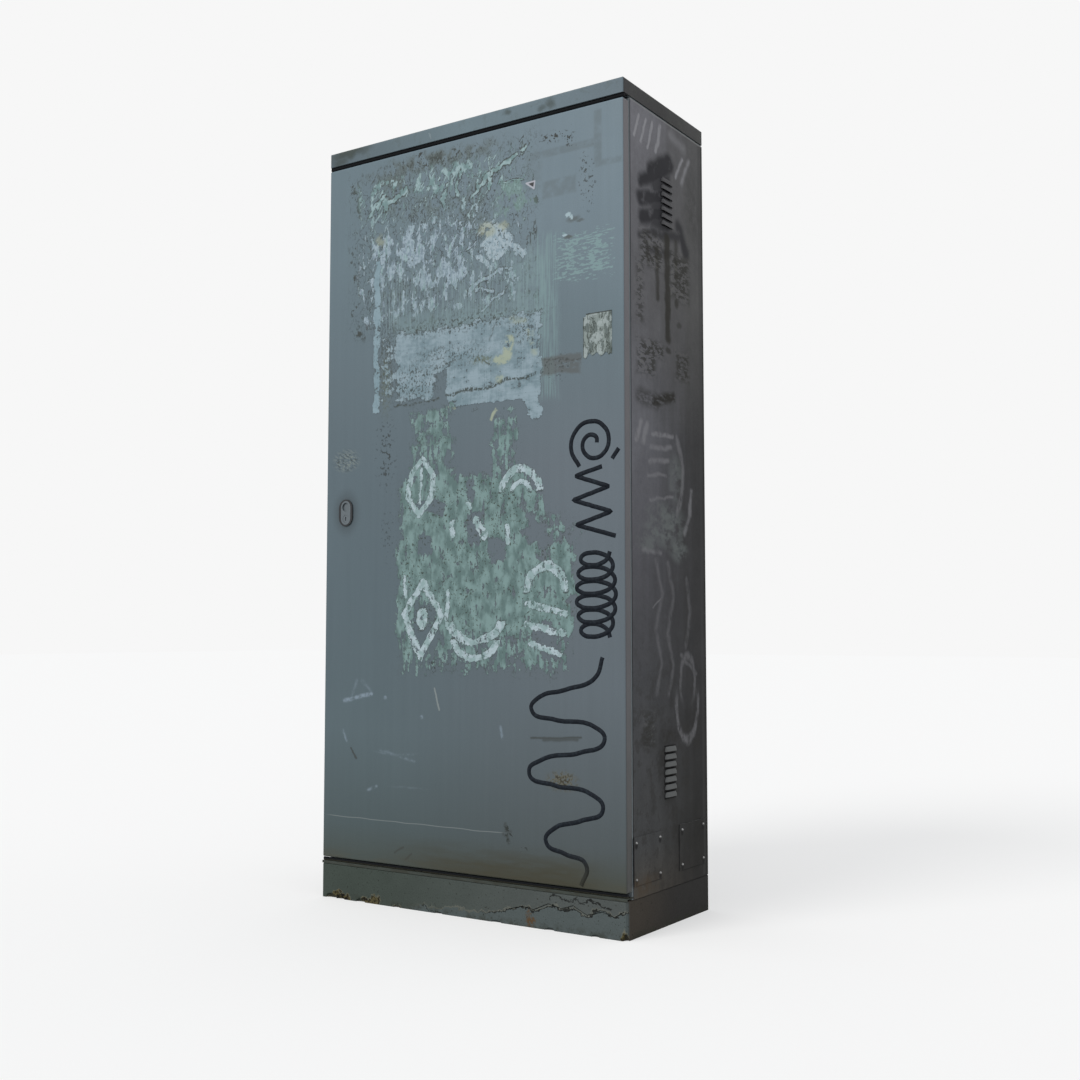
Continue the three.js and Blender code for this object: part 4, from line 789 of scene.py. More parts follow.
# %% Scuffs, rust and dirt
def scuffs(f, colour):
    u, v = torn(f, f.x, f.z, 0.002, 0.0006, 61)
    worn = f.noise(0.012, 62, 3.0, 0.6).rises(0.30, 0.62)
    upper_half = v.rises(0.262, 0.270)
    lower_half = v.rises(0.345, 0.335)
    faint = any_of(
        marks(bar, u, v, [
            ((-0.345, 0.452), (-0.262, 0.470), 0.009, 0.003, 0.9),
            ((-0.322, 0.462), (-0.305, 0.500), 0.006, 0.004, 0.35),
            ((-0.290, 0.500), (-0.262, 0.474), 0.006, 0.004, 0.35),
            ((-0.348, 0.384), (-0.335, 0.360), 0.005, 0.003, 0.6),
            ((-0.235, 0.345), (-0.135, 0.325), 0.003, 0.004, 0.5),
            ((-0.268, 0.254), (-0.245, 0.262), 0.006, 0.003, 0.6),
            ((0.098, 0.410), (0.102, 0.386), 0.006, 0.003, 0.6),
        ]),
        ring(u, v, (-0.15, 0.235), (0.13, 0.030), 0.003, 0.003) * upper_half * 0.6,
        ring(u, v, (-0.19, 0.372), (0.10, 0.036), 0.003, 0.003) * lower_half * 0.45,
        spot(u, v, (-0.222, 0.462), (0.004, 0.004), 0.6) * 0.8,
        spot(u, v, (-0.115, 0.422), (0.004, 0.004), 0.6) * 0.7,
    )
    colour = f.mix(colour, paint(130, 146, 160), faint * worn * 0.95)
    slash = bar(u, v, (-0.079, 0.487), (-0.066, 0.441), 0.004)
    scratch = abs(f.z - 0.1875 + (f.noise(0.09, 63, 1.0) - 0.5) * 0.006).rises(0.0014, 0.0004)
    scratch = scratch * patch(f.x, f.z, -0.385, 0.105, 0.17, 0.20, 0.02)
    colour = f.mix(colour, paint(132, 140, 140), slash.or_more(scratch * 0.7) * 0.8)
    dark = marks(bar, u, v, [
        ((-0.322, 0.345), (-0.306, 0.322), 0.005, 1), ((-0.190, 0.120), (-0.166, 0.134), 0.004, 1),
        ((-0.160, 0.108), (-0.141, 0.121), 0.004, 1),
        ((0.178, 0.390), (0.300, 0.396), 0.004, 0.002, 1),
        ((0.210, 0.389), (0.290, 0.392), 0.008, 0.003, 0.8),
    ])
    colour = f.mix(colour, paint(52, 56, 54), dark * 0.8)
    rust_at = spot(u, v, (0.255, 0.305), (0.032, 0.017), 0.6)
    crumbs = f.noise(0.006, 64, 2.0, 0.7)
    colour = f.mix(colour, paint(94, 90, 72), rust_at * crumbs.rises(0.40, 0.52) * 0.8)
    colour = f.mix(colour, paint(42, 40, 32), rust_at * crumbs.rises(0.54, 0.58) * 0.9)
    smear = f.noise((0.12, 0.05, 0.02), 65, 3.0, 0.6).rises(0.36, 0.62)
    dust = f.z.rises(0.125, 0.092) * 0.5
    colour = f.mix(colour, paint(70, 68, 55), dust * smear)
    splashed = (f.z - smear * 0.02).rises(0.150, 0.086) * f.x.rises(-0.30, 0.05)
    splashed = splashed * f.x.rises(0.385, 0.27)
    colour = f.mix(colour, paint(56, 55, 42), splashed * 0.95)
    wedge = any_of(bar(u, v, (0.112, 0.205), (0.120, 0.168), 0.007, 0.004),
                   bar(u, v, (0.108, 0.186), (0.126, 0.192), 0.006, 0.004) * 0.8)
    colour = f.mix(colour, paint(50, 55, 54), wedge * crumbs.rises(0.34, 0.48) * 0.8)
    return colour, rust_at * crumbs


# %% Round the lock
def lock_grime_and_shadow(f, colour):
    lock = centre("lock_bezel")
    # A soft dark halo round the lock: grime, and painted shadow of the lock.
    near = spot(f.x, f.z, (lock[0], lock[2]), (0.034, 0.046), 0.45)
    colour = f.mix(colour, paint(56, 64, 68), near * 0.5)
    clump = spot(f.x, f.z, (-0.345, 1.012), (0.036, 0.024), 0.4)
    bits = f.noise((0.012, 0.02, 0.004), 71, 3.0, 0.7, (0.0, 30.0, 0.0))
    colour = f.mix(colour, paint(122, 132, 128), clump * bits.rises(0.50, 0.58) * 0.75)
    colour = f.mix(colour, paint(56, 62, 56), clump * bits.rises(0.46, 0.40) * 0.8)
    return colour


# %% The whole door finish
def door_surface(f):
    """Colour, thickness of the old layers, and a mask of the front face."""
    bare = door_grey(f)
    colour = faded_traces(f, bare)
    colour, flecks = scraped(f, colour)
    colour = loose_chips(f, colour)
    colour, paper = residue(f, colour)
    colour, green = green_patch(f, colour)
    colour, white = white_swipes(f, colour)
    colour, rust = scuffs(f, colour)
    colour = lock_grime_and_shadow(f, glue_crumbs(f, colour))
    outside = f.y.rises(door_front + 0.0014, door_front + 0.0006)
    thick = (flecks * 0.6 + paper * 0.7 + green * 0.6 + white * 0.3 + rust) * outside
    return f.mix(bare, colour, outside), thick


def door_enamel():
    f = Finish("door_enamel", specular=0.35)
    colour, thick = door_surface(f)
    skin = f.noise(0.004, 81, 1.0) * 0.10
    f.relief(thick.or_less(1.0) + skin, 0.0007)
    return f.done(colour, thick.or_less(1.0) * 0.25 + f.noise(0.05, 82, 3.0) * 0.2 + 0.40)


def wear(material, *nodes):
    """Gives nodes of the model a finish in place of their plain colour."""
    for node in nodes:
        for slot in frame["nodes"][node].material_slots:
            slot.material = material


wear(door_enamel(), "door_panel")

# %% [markdown]
# ## The body's paint
#
# The panels, the roof cap and the base frame wear the same grey as the door, but
# darker: the grime is thicker, and the darkness is in part painted shade. The body
# is lighter near the door and darker towards the back wall and the ground, partly
# grime and partly painted shade. Inside the cabinet the paint is clean. A mask by
# distance from the middle tells the two apart.


# %% Grey of the body, darkened in part as painted shade
def shaded_body_grey(f):
    height = f.z / cabinet_top
    # Grime and painted shade: darker towards the back and the ground than the paint is.
    fore = f.ramp(height, [(0.045, paint(84, 80, 74)), (0.10, paint(77, 78, 79)),
                           (0.29, paint(79, 80, 83)), (0.42, paint(92, 92, 97)),
                           (0.58, paint(114, 115, 121)), (0.76, paint(105, 105, 108)),
                           (0.97, paint(128, 128, 134))])
    rear = f.ramp(height, [(0.045, paint(48, 47, 46)), (0.10, paint(48, 48, 47)),
                           (0.29, paint(58, 58, 59)), (0.58, paint(63, 63, 64)),
                           (0.76, paint(93, 93, 93)), (0.97, paint(95, 95, 96))])
    streaks = (f.noise((0.05, 0.03, 0.30), 91, 3.0) - 0.5) * 0.16
    colour = f.mix(fore, rear, (f.y + streaks).rises(-0.16, 0.15))
    # Painted shade, darker by the back edge.
    colour = f.mix(colour, paint(56, 56, 55), f.y.rises(0.150, 0.178) * 0.35)
    clouds = (f.noise(0.09, 92, 6.0, 0.68) - 0.5) * 0.62
    runs = (f.noise((0.012, 0.012, 0.20), 93, 3.0) - 0.5) * 0.14
    mottled = (f.noise(0.012, 96, 3.0, 0.7) - 0.5) * 0.30
    grain = (f.noise(0.0024, 94, 1.0) - 0.5) * 0.40
    return f.shade(colour, clouds + runs + mottled + grain + 1.0)


def clean_inside(f, colour):
    """Outside keeps the weathered colour; inside shows the paint as it was sprayed."""
    fresh = f.shade(paint(138, 146, 150), (f.noise(0.3, 95, 2.0) - 0.5) * 0.08 + 1.0)
    outside = any_of(abs(f.x).rises(*outside_x), f.y.rises(*outside_y), f.z.rises(*outside_z))
    return f.mix(fresh, colour, outside), outside


# %% [markdown]
# ## Marks on the right-hand panel
#
# The right-hand panel carries an old cloud of black spray with drips, worn chalky
# strokes, and smudges of glue. They are drawn as hatching, slanting lines, bends
# and ovals, kept soft because chalk and spray have no hard edge.


# %% Spray, chalk and glue
def spray_and_chalk(f, colour):
    across, up = f.y, f.z
    u, v = torn(f, across, up, 0.0035, 0.0008, 101)
    cloud = any_of(
        marks(bar, u, v, [
            ((-0.108, 1.560), (-0.050, 1.585), 0.030, 0.010, 1),
            ((-0.060, 1.590), (0.014, 1.632), 0.048, 0.010, 1),
            ((-0.110, 1.522), (-0.020, 1.550), 0.036, 0.010, 1),
            ((-0.104, 1.484), (-0.010, 1.515), 0.034, 0.010, 1),
            ((-0.118, 1.438), (-0.060, 1.462), 0.016, 0.008, 0.75),
            ((-0.060, 1.462), (0.060, 1.480), 0.022, 0.010, 0.85),
            ((0.060, 1.505), (0.094, 1.455), 0.030, 0.010, 0.9),
            ((-0.080, 1.420), (0.020, 1.432), 0.016, 0.008, 0.7),
        ]),
        patch(u, v, -0.070, 0.022, 1.470, 1.610, 0.014) * 0.85,
    )
    drips = any_of(
        marks(bar, u, v, [
            ((0.006, 1.462), (0.008, 1.245), 0.024, 0.006, 1),
            ((-0.040, 1.430), (-0.038, 1.325), 0.016, 0.006, 0.85),
            ((0.046, 1.465), (0.048, 1.372), 0.014, 0.006, 0.7),
            ((-0.082, 1.430), (-0.081, 1.392), 0.012, 0.006, 0.6),
        ]),
        marks(spot, u, v, [
            ((0.050, 1.330), (0.010, 0.012), 0.5, 0.8), ((0.060, 1.284), (0.011, 0.006), 0.5, 0.6),
            ((0.010, 1.218), (0.012, 0.007), 0.5, 0.8),
        ]),
    )
    misty = f.noise(0.03, 102, 3.0, 0.6).rises(0.10, 0.44)
    colour = f.mix(colour, paint(44, 44, 48), cloud * misty * 0.92)
    colour = f.mix(colour, paint(48, 47, 42), drips * misty * 0.88)
    glue = marks(patch, u, v, [
        (-0.132, -0.100, 1.255, 1.390, 0.012, 0.8), (-0.130, -0.050, 1.150, 1.222, 0.012, 1),
        (-0.080, -0.010, 1.195, 1.228, 0.010, 1), (0.045, 0.105, 1.160, 1.222, 0.012, 1),
        (0.020, 0.108, 1.340, 1.440, 0.015, 1), (-0.115, -0.010, 1.385, 1.460, 0.015, 1),
        (-0.115, -0.060, 0.375, 0.450, 0.018, 0.8),
    ])
    torn_bits = f.noise((0.02, 0.022, 0.008), 103, 4.0, 0.7)
    colour = f.mix(colour, paint(50, 50, 45), glue * torn_bits.rises(0.47, 0.55) * 0.75)
    colour = f.mix(colour, paint(116, 116, 110), glue * torn_bits.rises(0.42, 0.37) * 0.42)
    band = any_of(bar(u, v, (-0.118, 1.100), (-0.050, 1.100), 0.036, 0.010) * 0.6,
                  bar(u, v, (-0.060, 1.098), (0.030, 1.118), 0.022, 0.007))
    colour = f.mix(colour, paint(40, 39, 34), band * torn_bits.rises(0.34, 0.52) * 0.9)
    smear = marks(spot, u, v, [
        ((-0.015, 0.838), (0.085, 0.042), 0.5, 1), ((-0.085, 0.800), (0.045, 0.022), 0.5, 0.8),
        ((0.040, 0.940), (0.030, 0.048), 0.5, 0.75), ((0.050, 0.790), (0.036, 0.024), 0.6, 1),
    ])
    dusty = f.noise((0.02, 0.035, 0.020), 104, 4.0, 0.65).rises(0.34, 0.60)
    colour = f.mix(colour, paint(120, 127, 126), smear * dusty * 0.62)
    upper = marks(bar, u, v, [
        ((-0.138, 1.650), (-0.118, 1.698), 0.009, 0.002, 1),
        ((-0.108, 1.645), (-0.086, 1.700), 0.008, 0.002, 1),
        ((-0.078, 1.640), (-0.058, 1.702), 0.008, 0.002, 1),
        ((-0.042, 1.644), (-0.022, 1.704), 0.012, 0.003, 0.9),
        ((0.050, 1.612), (0.080, 1.664), 0.009, 0.004, 0.9),
        ((0.076, 1.606), (0.112, 1.668), 0.010, 0.006, 0.7),
        ((0.025, 1.700), (0.090, 1.688), 0.018, 0.010, 0.4),
    ])
    beside = u.rises(0.036, 0.046)
    middle = any_of(
        marks(bar, u, v, [
            ((-0.134, 1.008), (-0.114, 1.046), 0.013, 0.005, 1),
            ((-0.106, 1.006), (-0.086, 1.044), 0.015, 0.005, 0.9),
            ((-0.066, 1.026), (0.026, 1.034), 0.009, 0.003, 0.9),
            ((-0.072, 0.998), (0.018, 1.006), 0.010, 0.004, 0.7),
            ((-0.080, 0.968), (0.006, 0.978), 0.010, 0.004, 0.75),
            ((-0.086, 0.938), (-0.006, 0.946), 0.007, 0.003, 0.6),
            ((-0.078, 0.886), (0.025, 0.900), 0.006, 0.003, 0.7),
            ((0.112, 0.920), (0.104, 0.870), 0.013, 0.005, 0.8),
            ((0.104, 0.870), (0.078, 0.826), 0.011, 0.005, 0.7),
            ((-0.110, 0.782), (-0.030, 0.776), 0.009, 0.004, 0.6),
        ]),
        ring(u, v, (0.022, 0.950), (0.050, 0.085), 0.013, 0.005) * beside * 0.6,
    )
    bends = [[(-0.052, 0.760), (-0.026, 0.690), (-0.056, 0.618), (-0.030, 0.548), (-0.052, 0.486)],
             [(0.000, 0.756), (0.026, 0.684), (-0.004, 0.610), (0.022, 0.540), (0.002, 0.480)],
             [(0.086, 0.724), (0.102, 0.650), (0.080, 0.580)]]
    lower = any_of(
        *[bar(u, v, a, b, 0.011, 0.006) * 0.5 for run in bends for a, b in zip(run, run[1:])],
        ring(u, v, (0.086, 0.462), (0.050, 0.084), 0.012, 0.004) * v.rises(0.500, 0.440),
        ring(u, v, (0.088, 0.500), (0.034, 0.060), 0.010, 0.004) * v.rises(0.440, 0.500) * 0.7,
        bar(u, v, (0.060, 0.560), (0.128, 0.520), 0.010, 0.004) * 0.6,
        bar(u, v, (-0.068, 0.662), (-0.030, 0.682), 0.003, 0.002),
    )
    rubbed = f.noise((0.02, 0.014, 0.02), 105, 3.0, 0.6).rises(0.18, 0.58)
    chalk = any_of(middle, lower * 0.75) * rubbed
    colour = f.mix(colour, paint(142, 142, 146), chalk * 0.72)
    return f.mix(colour, paint(166, 166, 171), upper * (rubbed * 0.6 + 0.4) * 0.74)


# %% [markdown]
# ## Dirt at fittings, with painted shade and painted highlight
#
# Air goes in and out at the louvres and leaves black dust around them, most of
# all round the lower ones. The openings hidden under the low hoods are painted
# black as shade, and the hoods lighter as painted highlight. A painted shadow lies
# under each rivet and each blanking plate, with painted highlight on the plates'
# top edges and the panel's top edge, and splashes from the pavement tint the
# lowest front corner brown.


# %% Grime at louvres and the foot, with painted shade and highlight at louvres, plates and rivets
louvre_middle = 0.0035
louvre_pitch = 0.0158
louvre_count = 7
louvre_half = 0.026
louvre_foot = {"low": 0.2655, "high": 1.4892}
plate_names = ("blanking_plate_front", "blanking_plate_rear")


def louvre_rows(f, colour):
    """Painted shade: black bands under the low hoods stand for the hidden openings. Painted
    highlight: the hoods are lighter.
    """
    rows = {}
    for name, foot in louvre_foot.items():
        top = foot + (louvre_count - 1) * louvre_pitch + 0.0125
        rows[name] = patch(f.y, f.z, louvre_middle - louvre_half, louvre_middle + louvre_half,
                           foot - 0.0045, top, 0.0008)
    # Painted highlight on the hoods.
    hood_highlight = f.x.rises(panel_face + 0.0012, panel_face + 0.0024)
    foot = louvre_foot["low"]
    step = f.calc("FRACT", (f.z - foot) / louvre_pitch + 1.0)
    # Painted shade in the band under each low hood, where its opening is hidden.
    slit_shade = abs(step - 0.86).rises(0.25, 0.18)
    colour = f.mix(colour, paint(112, 114, 114), rows["low"] * hood_highlight * 0.85)
    colour = f.mix(colour, paint(14, 14, 14), rows["low"] * slit_shade * 0.95)
    return f.mix(colour, paint(96, 96, 98), rows["high"] * hood_highlight * 0.8)


def fitting_grime(f, colour):
    u, v = torn(f, f.y, f.z, 0.006, 0.001, 111)
    sooty = f.noise(0.022, 112, 4.0, 0.65).rises(0.28, 0.62)
    low = any_of(
        marks(spot, u, v, [
            ((louvre_middle, 0.314), (0.040, 0.070), 0.5, 0.7),
            ((-0.042, 0.335), (0.020, 0.030), 0.7, 0.7),
            ((0.034, 0.195), (0.022, 0.035), 0.7, 0.6), ((0.0, 0.386), (0.045, 0.018), 0.7, 0.8),
            ((-0.085, 0.385), (0.035, 0.022), 0.8, 0.5),
            ((0.110, 0.400), (0.035, 0.050), 0.8, 0.5), ((0.130, 1.560), (0.040, 0.060), 0.8, 0.4),
            ((0.120, 0.160), (0.050, 0.060), 0.8, 0.5),
        ]),
        bar(u, v, (0.010, 0.256), (0.018, 0.222), 0.012, 0.008) * 0.8,
        bar(u, v, (-0.008, 0.256), (-0.008, 0.244), 0.008, 0.006) * 0.6,
    )
    colour = f.mix(colour, paint(38, 37, 34), low * sooty * 0.8)
    blotches = f.noise(0.030, 113, 5.0, 0.7).rises(0.50, 0.62) * f.z.rises(0.75, 0.35)
    colour = f.mix(colour, paint(52, 51, 49), blotches * 0.45)
    colour = louvre_rows(f, colour)
    rivet_shadows, plate_top_highlights, plate_foot_shadows, sides = [], [], [], []
    for name in frame["nodes"]:
        if name.startswith("rivet_"):
            shadow_place = (centre(name)[1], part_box(name)[0][2] - 0.0015)
            rivet_shadows.append(spot(f.y, f.z, shadow_place, (0.0055, 0.0060), 0.5))
    for name in plate_names:
        low_at, high_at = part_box(name)
        plate_top_highlights.append(patch(f.y, f.z, low_at[1], high_at[1], high_at[2] - 0.0006,
                          high_at[2] + 0.0012, 0.0008))
        plate_foot_shadows.append(patch(f.y, f.z, low_at[1] + 0.01, high_at[1], low_at[2] - 0.0022,
                          low_at[2] + 0.0004, 0.0008))
        sides.append(patch(f.y, f.z, low_at[1] - 0.0006, low_at[1] + 0.0004, low_at[2],
                           high_at[2], 0.0003))
    # Painted highlight on each plate's top edge, painted shadow under its foot, and painted light
    # on its front edge face.
    colour = f.mix(colour, paint(88, 88, 88), any_of(*plate_top_highlights) * sooty * 0.5)
    colour = f.mix(colour, paint(30, 30, 29), any_of(*plate_foot_shadows) * 0.75)
    colour = f.mix(colour, paint(74, 74, 75), any_of(*sides) * 0.8)
    # A painted shadow under each rivet.
    colour = f.mix(colour, paint(26, 26, 26), any_of(*rivet_shadows) * 0.85)
    corner = spot(u, v, (-0.135, 0.096), (0.075, 0.020), 0.7)
    colour = f.mix(colour, paint(80, 69, 56), corner * sooty * 0.75)
    seam = f.y.rises(panel_front + 0.0042, panel_front + 0.0022)
    colour = f.mix(colour, paint(30, 30, 32), seam * 0.85)
    fold = patch(f.y, f.z, 0.156, 0.166, 0.08, 1.72, 0.003)
    colour = f.mix(colour, paint(74, 74, 74), fold * 0.35)
    colour = f.mix(colour, paint(36, 36, 35), f.y.rises(0.168, 0.174) * 0.5)
    # Painted highlight along the panel's top edge.
    rim = f.z.rises(1.7190, 1.7212) * abs(f.x).rises(0.4055, 0.4062)
    return f.mix(colour, paint(150, 150, 150), rim * 0.6)


# %% [markdown]
# ## The quiet sides
#
# The left, rear and top panels carry no drawn marks. They keep the door's grey,
# darkened partly as painted shade, with rain runs from the top, splashes at the foot and rust dots.
# One finish serves all three, and soot is added where the left louvres are.


# %% The quiet sides: left, rear and top
def quiet_side(f):
    """The door's grey, darkened partly as painted shade; rain has washed it in runs and dirt has
    settled at the foot.
    """
    height = f.z / cabinet_top
    colour = f.ramp(height, [(0.045, paint(72, 72, 66)), (0.12, paint(78, 82, 82)),
                             (0.45, paint(90, 98, 102)), (0.97, paint(106, 116, 121))])
    clouds = (f.noise(0.12, 201, 6.0, 0.66) - 0.5) * 0.46
    runs = (f.noise((0.02, 0.02, 0.40), 202, 4.0, 0.6) - 0.5) * 0.34
    grain = (f.noise(0.0024, 203, 1.0) - 0.5) * 0.26
    colour = f.shade(colour, clouds + runs + grain + 1.0)
    washed = f.noise((0.012, 0.012, 0.30), 204, 3.0).rises(0.56, 0.66) * f.z.rises(1.0, 1.7)
    colour = f.mix(colour, paint(70, 74, 73), washed * 0.5)
    splash = f.noise((0.03, 0.03, 0.02), 205, 4.0, 0.7)
    colour = f.mix(colour, paint(74, 68, 54),
                   (splash + f.z.rises(0.30, 0.08) * 0.16).rises(0.56, 0.68) * 0.6)
    rust = f.noise((0.010, 0.010, 0.014), 206, 3.0, 0.7).rises(0.69, 0.74)
    rusting = f.noise(0.22, 207, 2.0).rises(0.54, 0.66)
    colour = f.mix(colour, paint(92, 70, 50), rust * rusting * 0.8)
    soot = any_of(*[spot(f.y, f.z, (louvre_middle, foot + 0.048), (0.045, 0.085), 0.6)
                    for foot in louvre_foot.values()]) * f.x.rises(-0.404, -0.406)
    return f.mix(colour, paint(44, 45, 44), soot * splash.rises(0.30, 0.62) * 0.7)


# %% The panels' finish, with and without the painted marks
def body_enamel(name, marked):
    f = Finish(name, specular=0.08)
    if marked:
        colour = spray_and_chalk(f, shaded_body_grey(f))
        colour = fitting_grime(f, colour)
    else:
        colour = quiet_side(f)
    colour, outside = clean_inside(f, colour)
    f.relief(f.noise(0.004, 121, 1.0) * 0.2 + f.noise(0.25, 122, 2.0), 0.0005)
    rough = f.noise(0.05, 123, 3.0) * 0.2 + 0.52
    return f.done(colour, rough)


right_enamel = body_enamel("right_panel_enamel", True)
plain_enamel = body_enamel("body_enamel", False)
wear(right_enamel, "side_panel_right", *plate_names)
wear(plain_enamel, "side_panel_left", "rear_panel", "top_panel", "door_stiffener_upper",
     "door_stiffener_lower")

# %% [markdown]
# ## Roof cap and base frame
#
# The cap's front matches the top of the door, with a few dark smudges at its left
# end; its right-hand side is painted dark grey as shade, like the right-hand panel,
# and its other sides a lighter grey. The base frame is a narrow band above the
# plinth, as dirty as the concrete below it; its right-hand side takes the body's
# grey with its painted shade.


# %% Finishes of the cap and the base frame
def cap_enamel():
    f = Finish("cap_enamel", specular=0.12)
    front = f.y.rises(-0.179, -0.1812)
    fore = f.ramp((f.x + half_wide) / (2 * half_wide),
                  [(0.0, paint(92, 104, 111)), (0.25, paint(102, 117, 124)),
                   (0.50, paint(110, 127, 135)), (1.0, paint(107, 120, 128))])
    # The right-hand band is painted dark as shade; the other sides get a lighter grey.
    aside = f.ramp((f.y + 0.185) / 0.37, [(0.0, paint(68, 68, 69)), (0.5, paint(62, 62, 62)),
                                          (1.0, paint(75, 75, 75))])
    aside = f.mix(paint(90, 97, 101), aside, f.x.rises(0.390, 0.400))
    colour = f.mix(aside, fore, front)
    top = f.z.rises(1.7585, 1.7592)
    colour = f.mix(colour, paint(104, 108, 106), top)
    u, v = torn(f, f.x, f.z, 0.008, 0.002, 131)
    smudge = marks(spot, u, v, [
        ((-0.345, 1.752), (0.055, 0.012), 0.7, 1), ((0.225, 1.742), (0.012, 0.012), 0.7, 0.8),
        ((0.205, 1.735), (0.010, 0.008), 0.7, 0.7), ((0.115, 1.748), (0.010, 0.007), 0.7, 0.8),
        ((-0.375, 1.736), (0.020, 0.010), 0.7, 0.8),
    ])
    colour = f.mix(colour, paint(66, 73, 69), smudge * front * 0.8)
    scratch = bar(u, v, (-0.107, 1.752), (-0.099, 1.738), 0.003) * front
    colour = f.mix(colour, paint(148, 162, 168), scratch * 0.7)
    moss = f.noise(0.03, 132, 4.0, 0.7).rises(0.52, 0.66)
    colour = f.mix(colour, paint(80, 86, 76), moss * (top * 0.7 + 0.18))
    amount = (f.noise(0.12, 133, 3.0) - 0.5) * 0.16 + (f.noise(0.0022, 134, 1.0) - 0.5) * 0.2
    colour = f.shade(colour, amount + 1.0)
    f.relief(f.noise(0.004, 135, 1.0) * 0.2 + moss * 0.3, 0.0004)
    return f.done(colour, f.noise(0.05, 136, 3.0) * 0.2 + 0.42)


def frame_enamel():
    f = Finish("base_frame_enamel", specular=0.1)
    front = f.y.rises(-0.150, -0.170)
    # The right-hand side takes the body's grey, with its painted shade.
    aside = f.mix(paint(78, 82, 81), shaded_body_grey(f), f.x.rises(0.380, 0.400))
    colour = f.mix(aside, paint(68, 73, 69), front)
    dirt = f.noise((0.05, 0.03, 0.01), 141, 4.0, 0.7).rises(0.40, 0.62)
    colour = f.mix(colour, paint(58, 56, 48), dirt * 0.5)
    inside = patch(f.x, f.y, -0.40, 0.40, -0.155, 0.175, 0.001) * f.z.rises(0.0835, 0.0845)
    colour = f.mix(colour, paint(112, 117, 118), inside * 0.8)
    f.relief(dirt, 0.0003)
    return f.done(colour, dirt * 0.2 + 0.5)


wear(cap_enamel(), "roof_cap")
wear(frame_enamel(), "base_frame")

# %% [markdown]
# ## Concrete plinth
#
# The plinth is cast concrete with a painted skin. It is greenish grey at the left
# and bluer at the right, where the skin has come off under a crack. Its side
# facing away from the light is brown with splashed earth and painted darker as
# shade towards the back. Chips at its foot are painted: a pale rim as painted
# highlight, olive-brown inside, with black painted shadow. Sand grains, pores and
# rust runs give it a rough touch.


# %% Plinth finish
plinth_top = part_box("plinth")[1][2]
# where the crack of the model runs, as shares of the half width and of the height
crack_line = [(0.30, 0.40), (0.38, 0.52), (0.45, 0.47), (0.54, 0.68), (0.62, 0.60),
              (0.69, 0.72), (0.77, 0.52), (0.86, 0.66), (0.93, 0.56), (0.985, 0.74)]


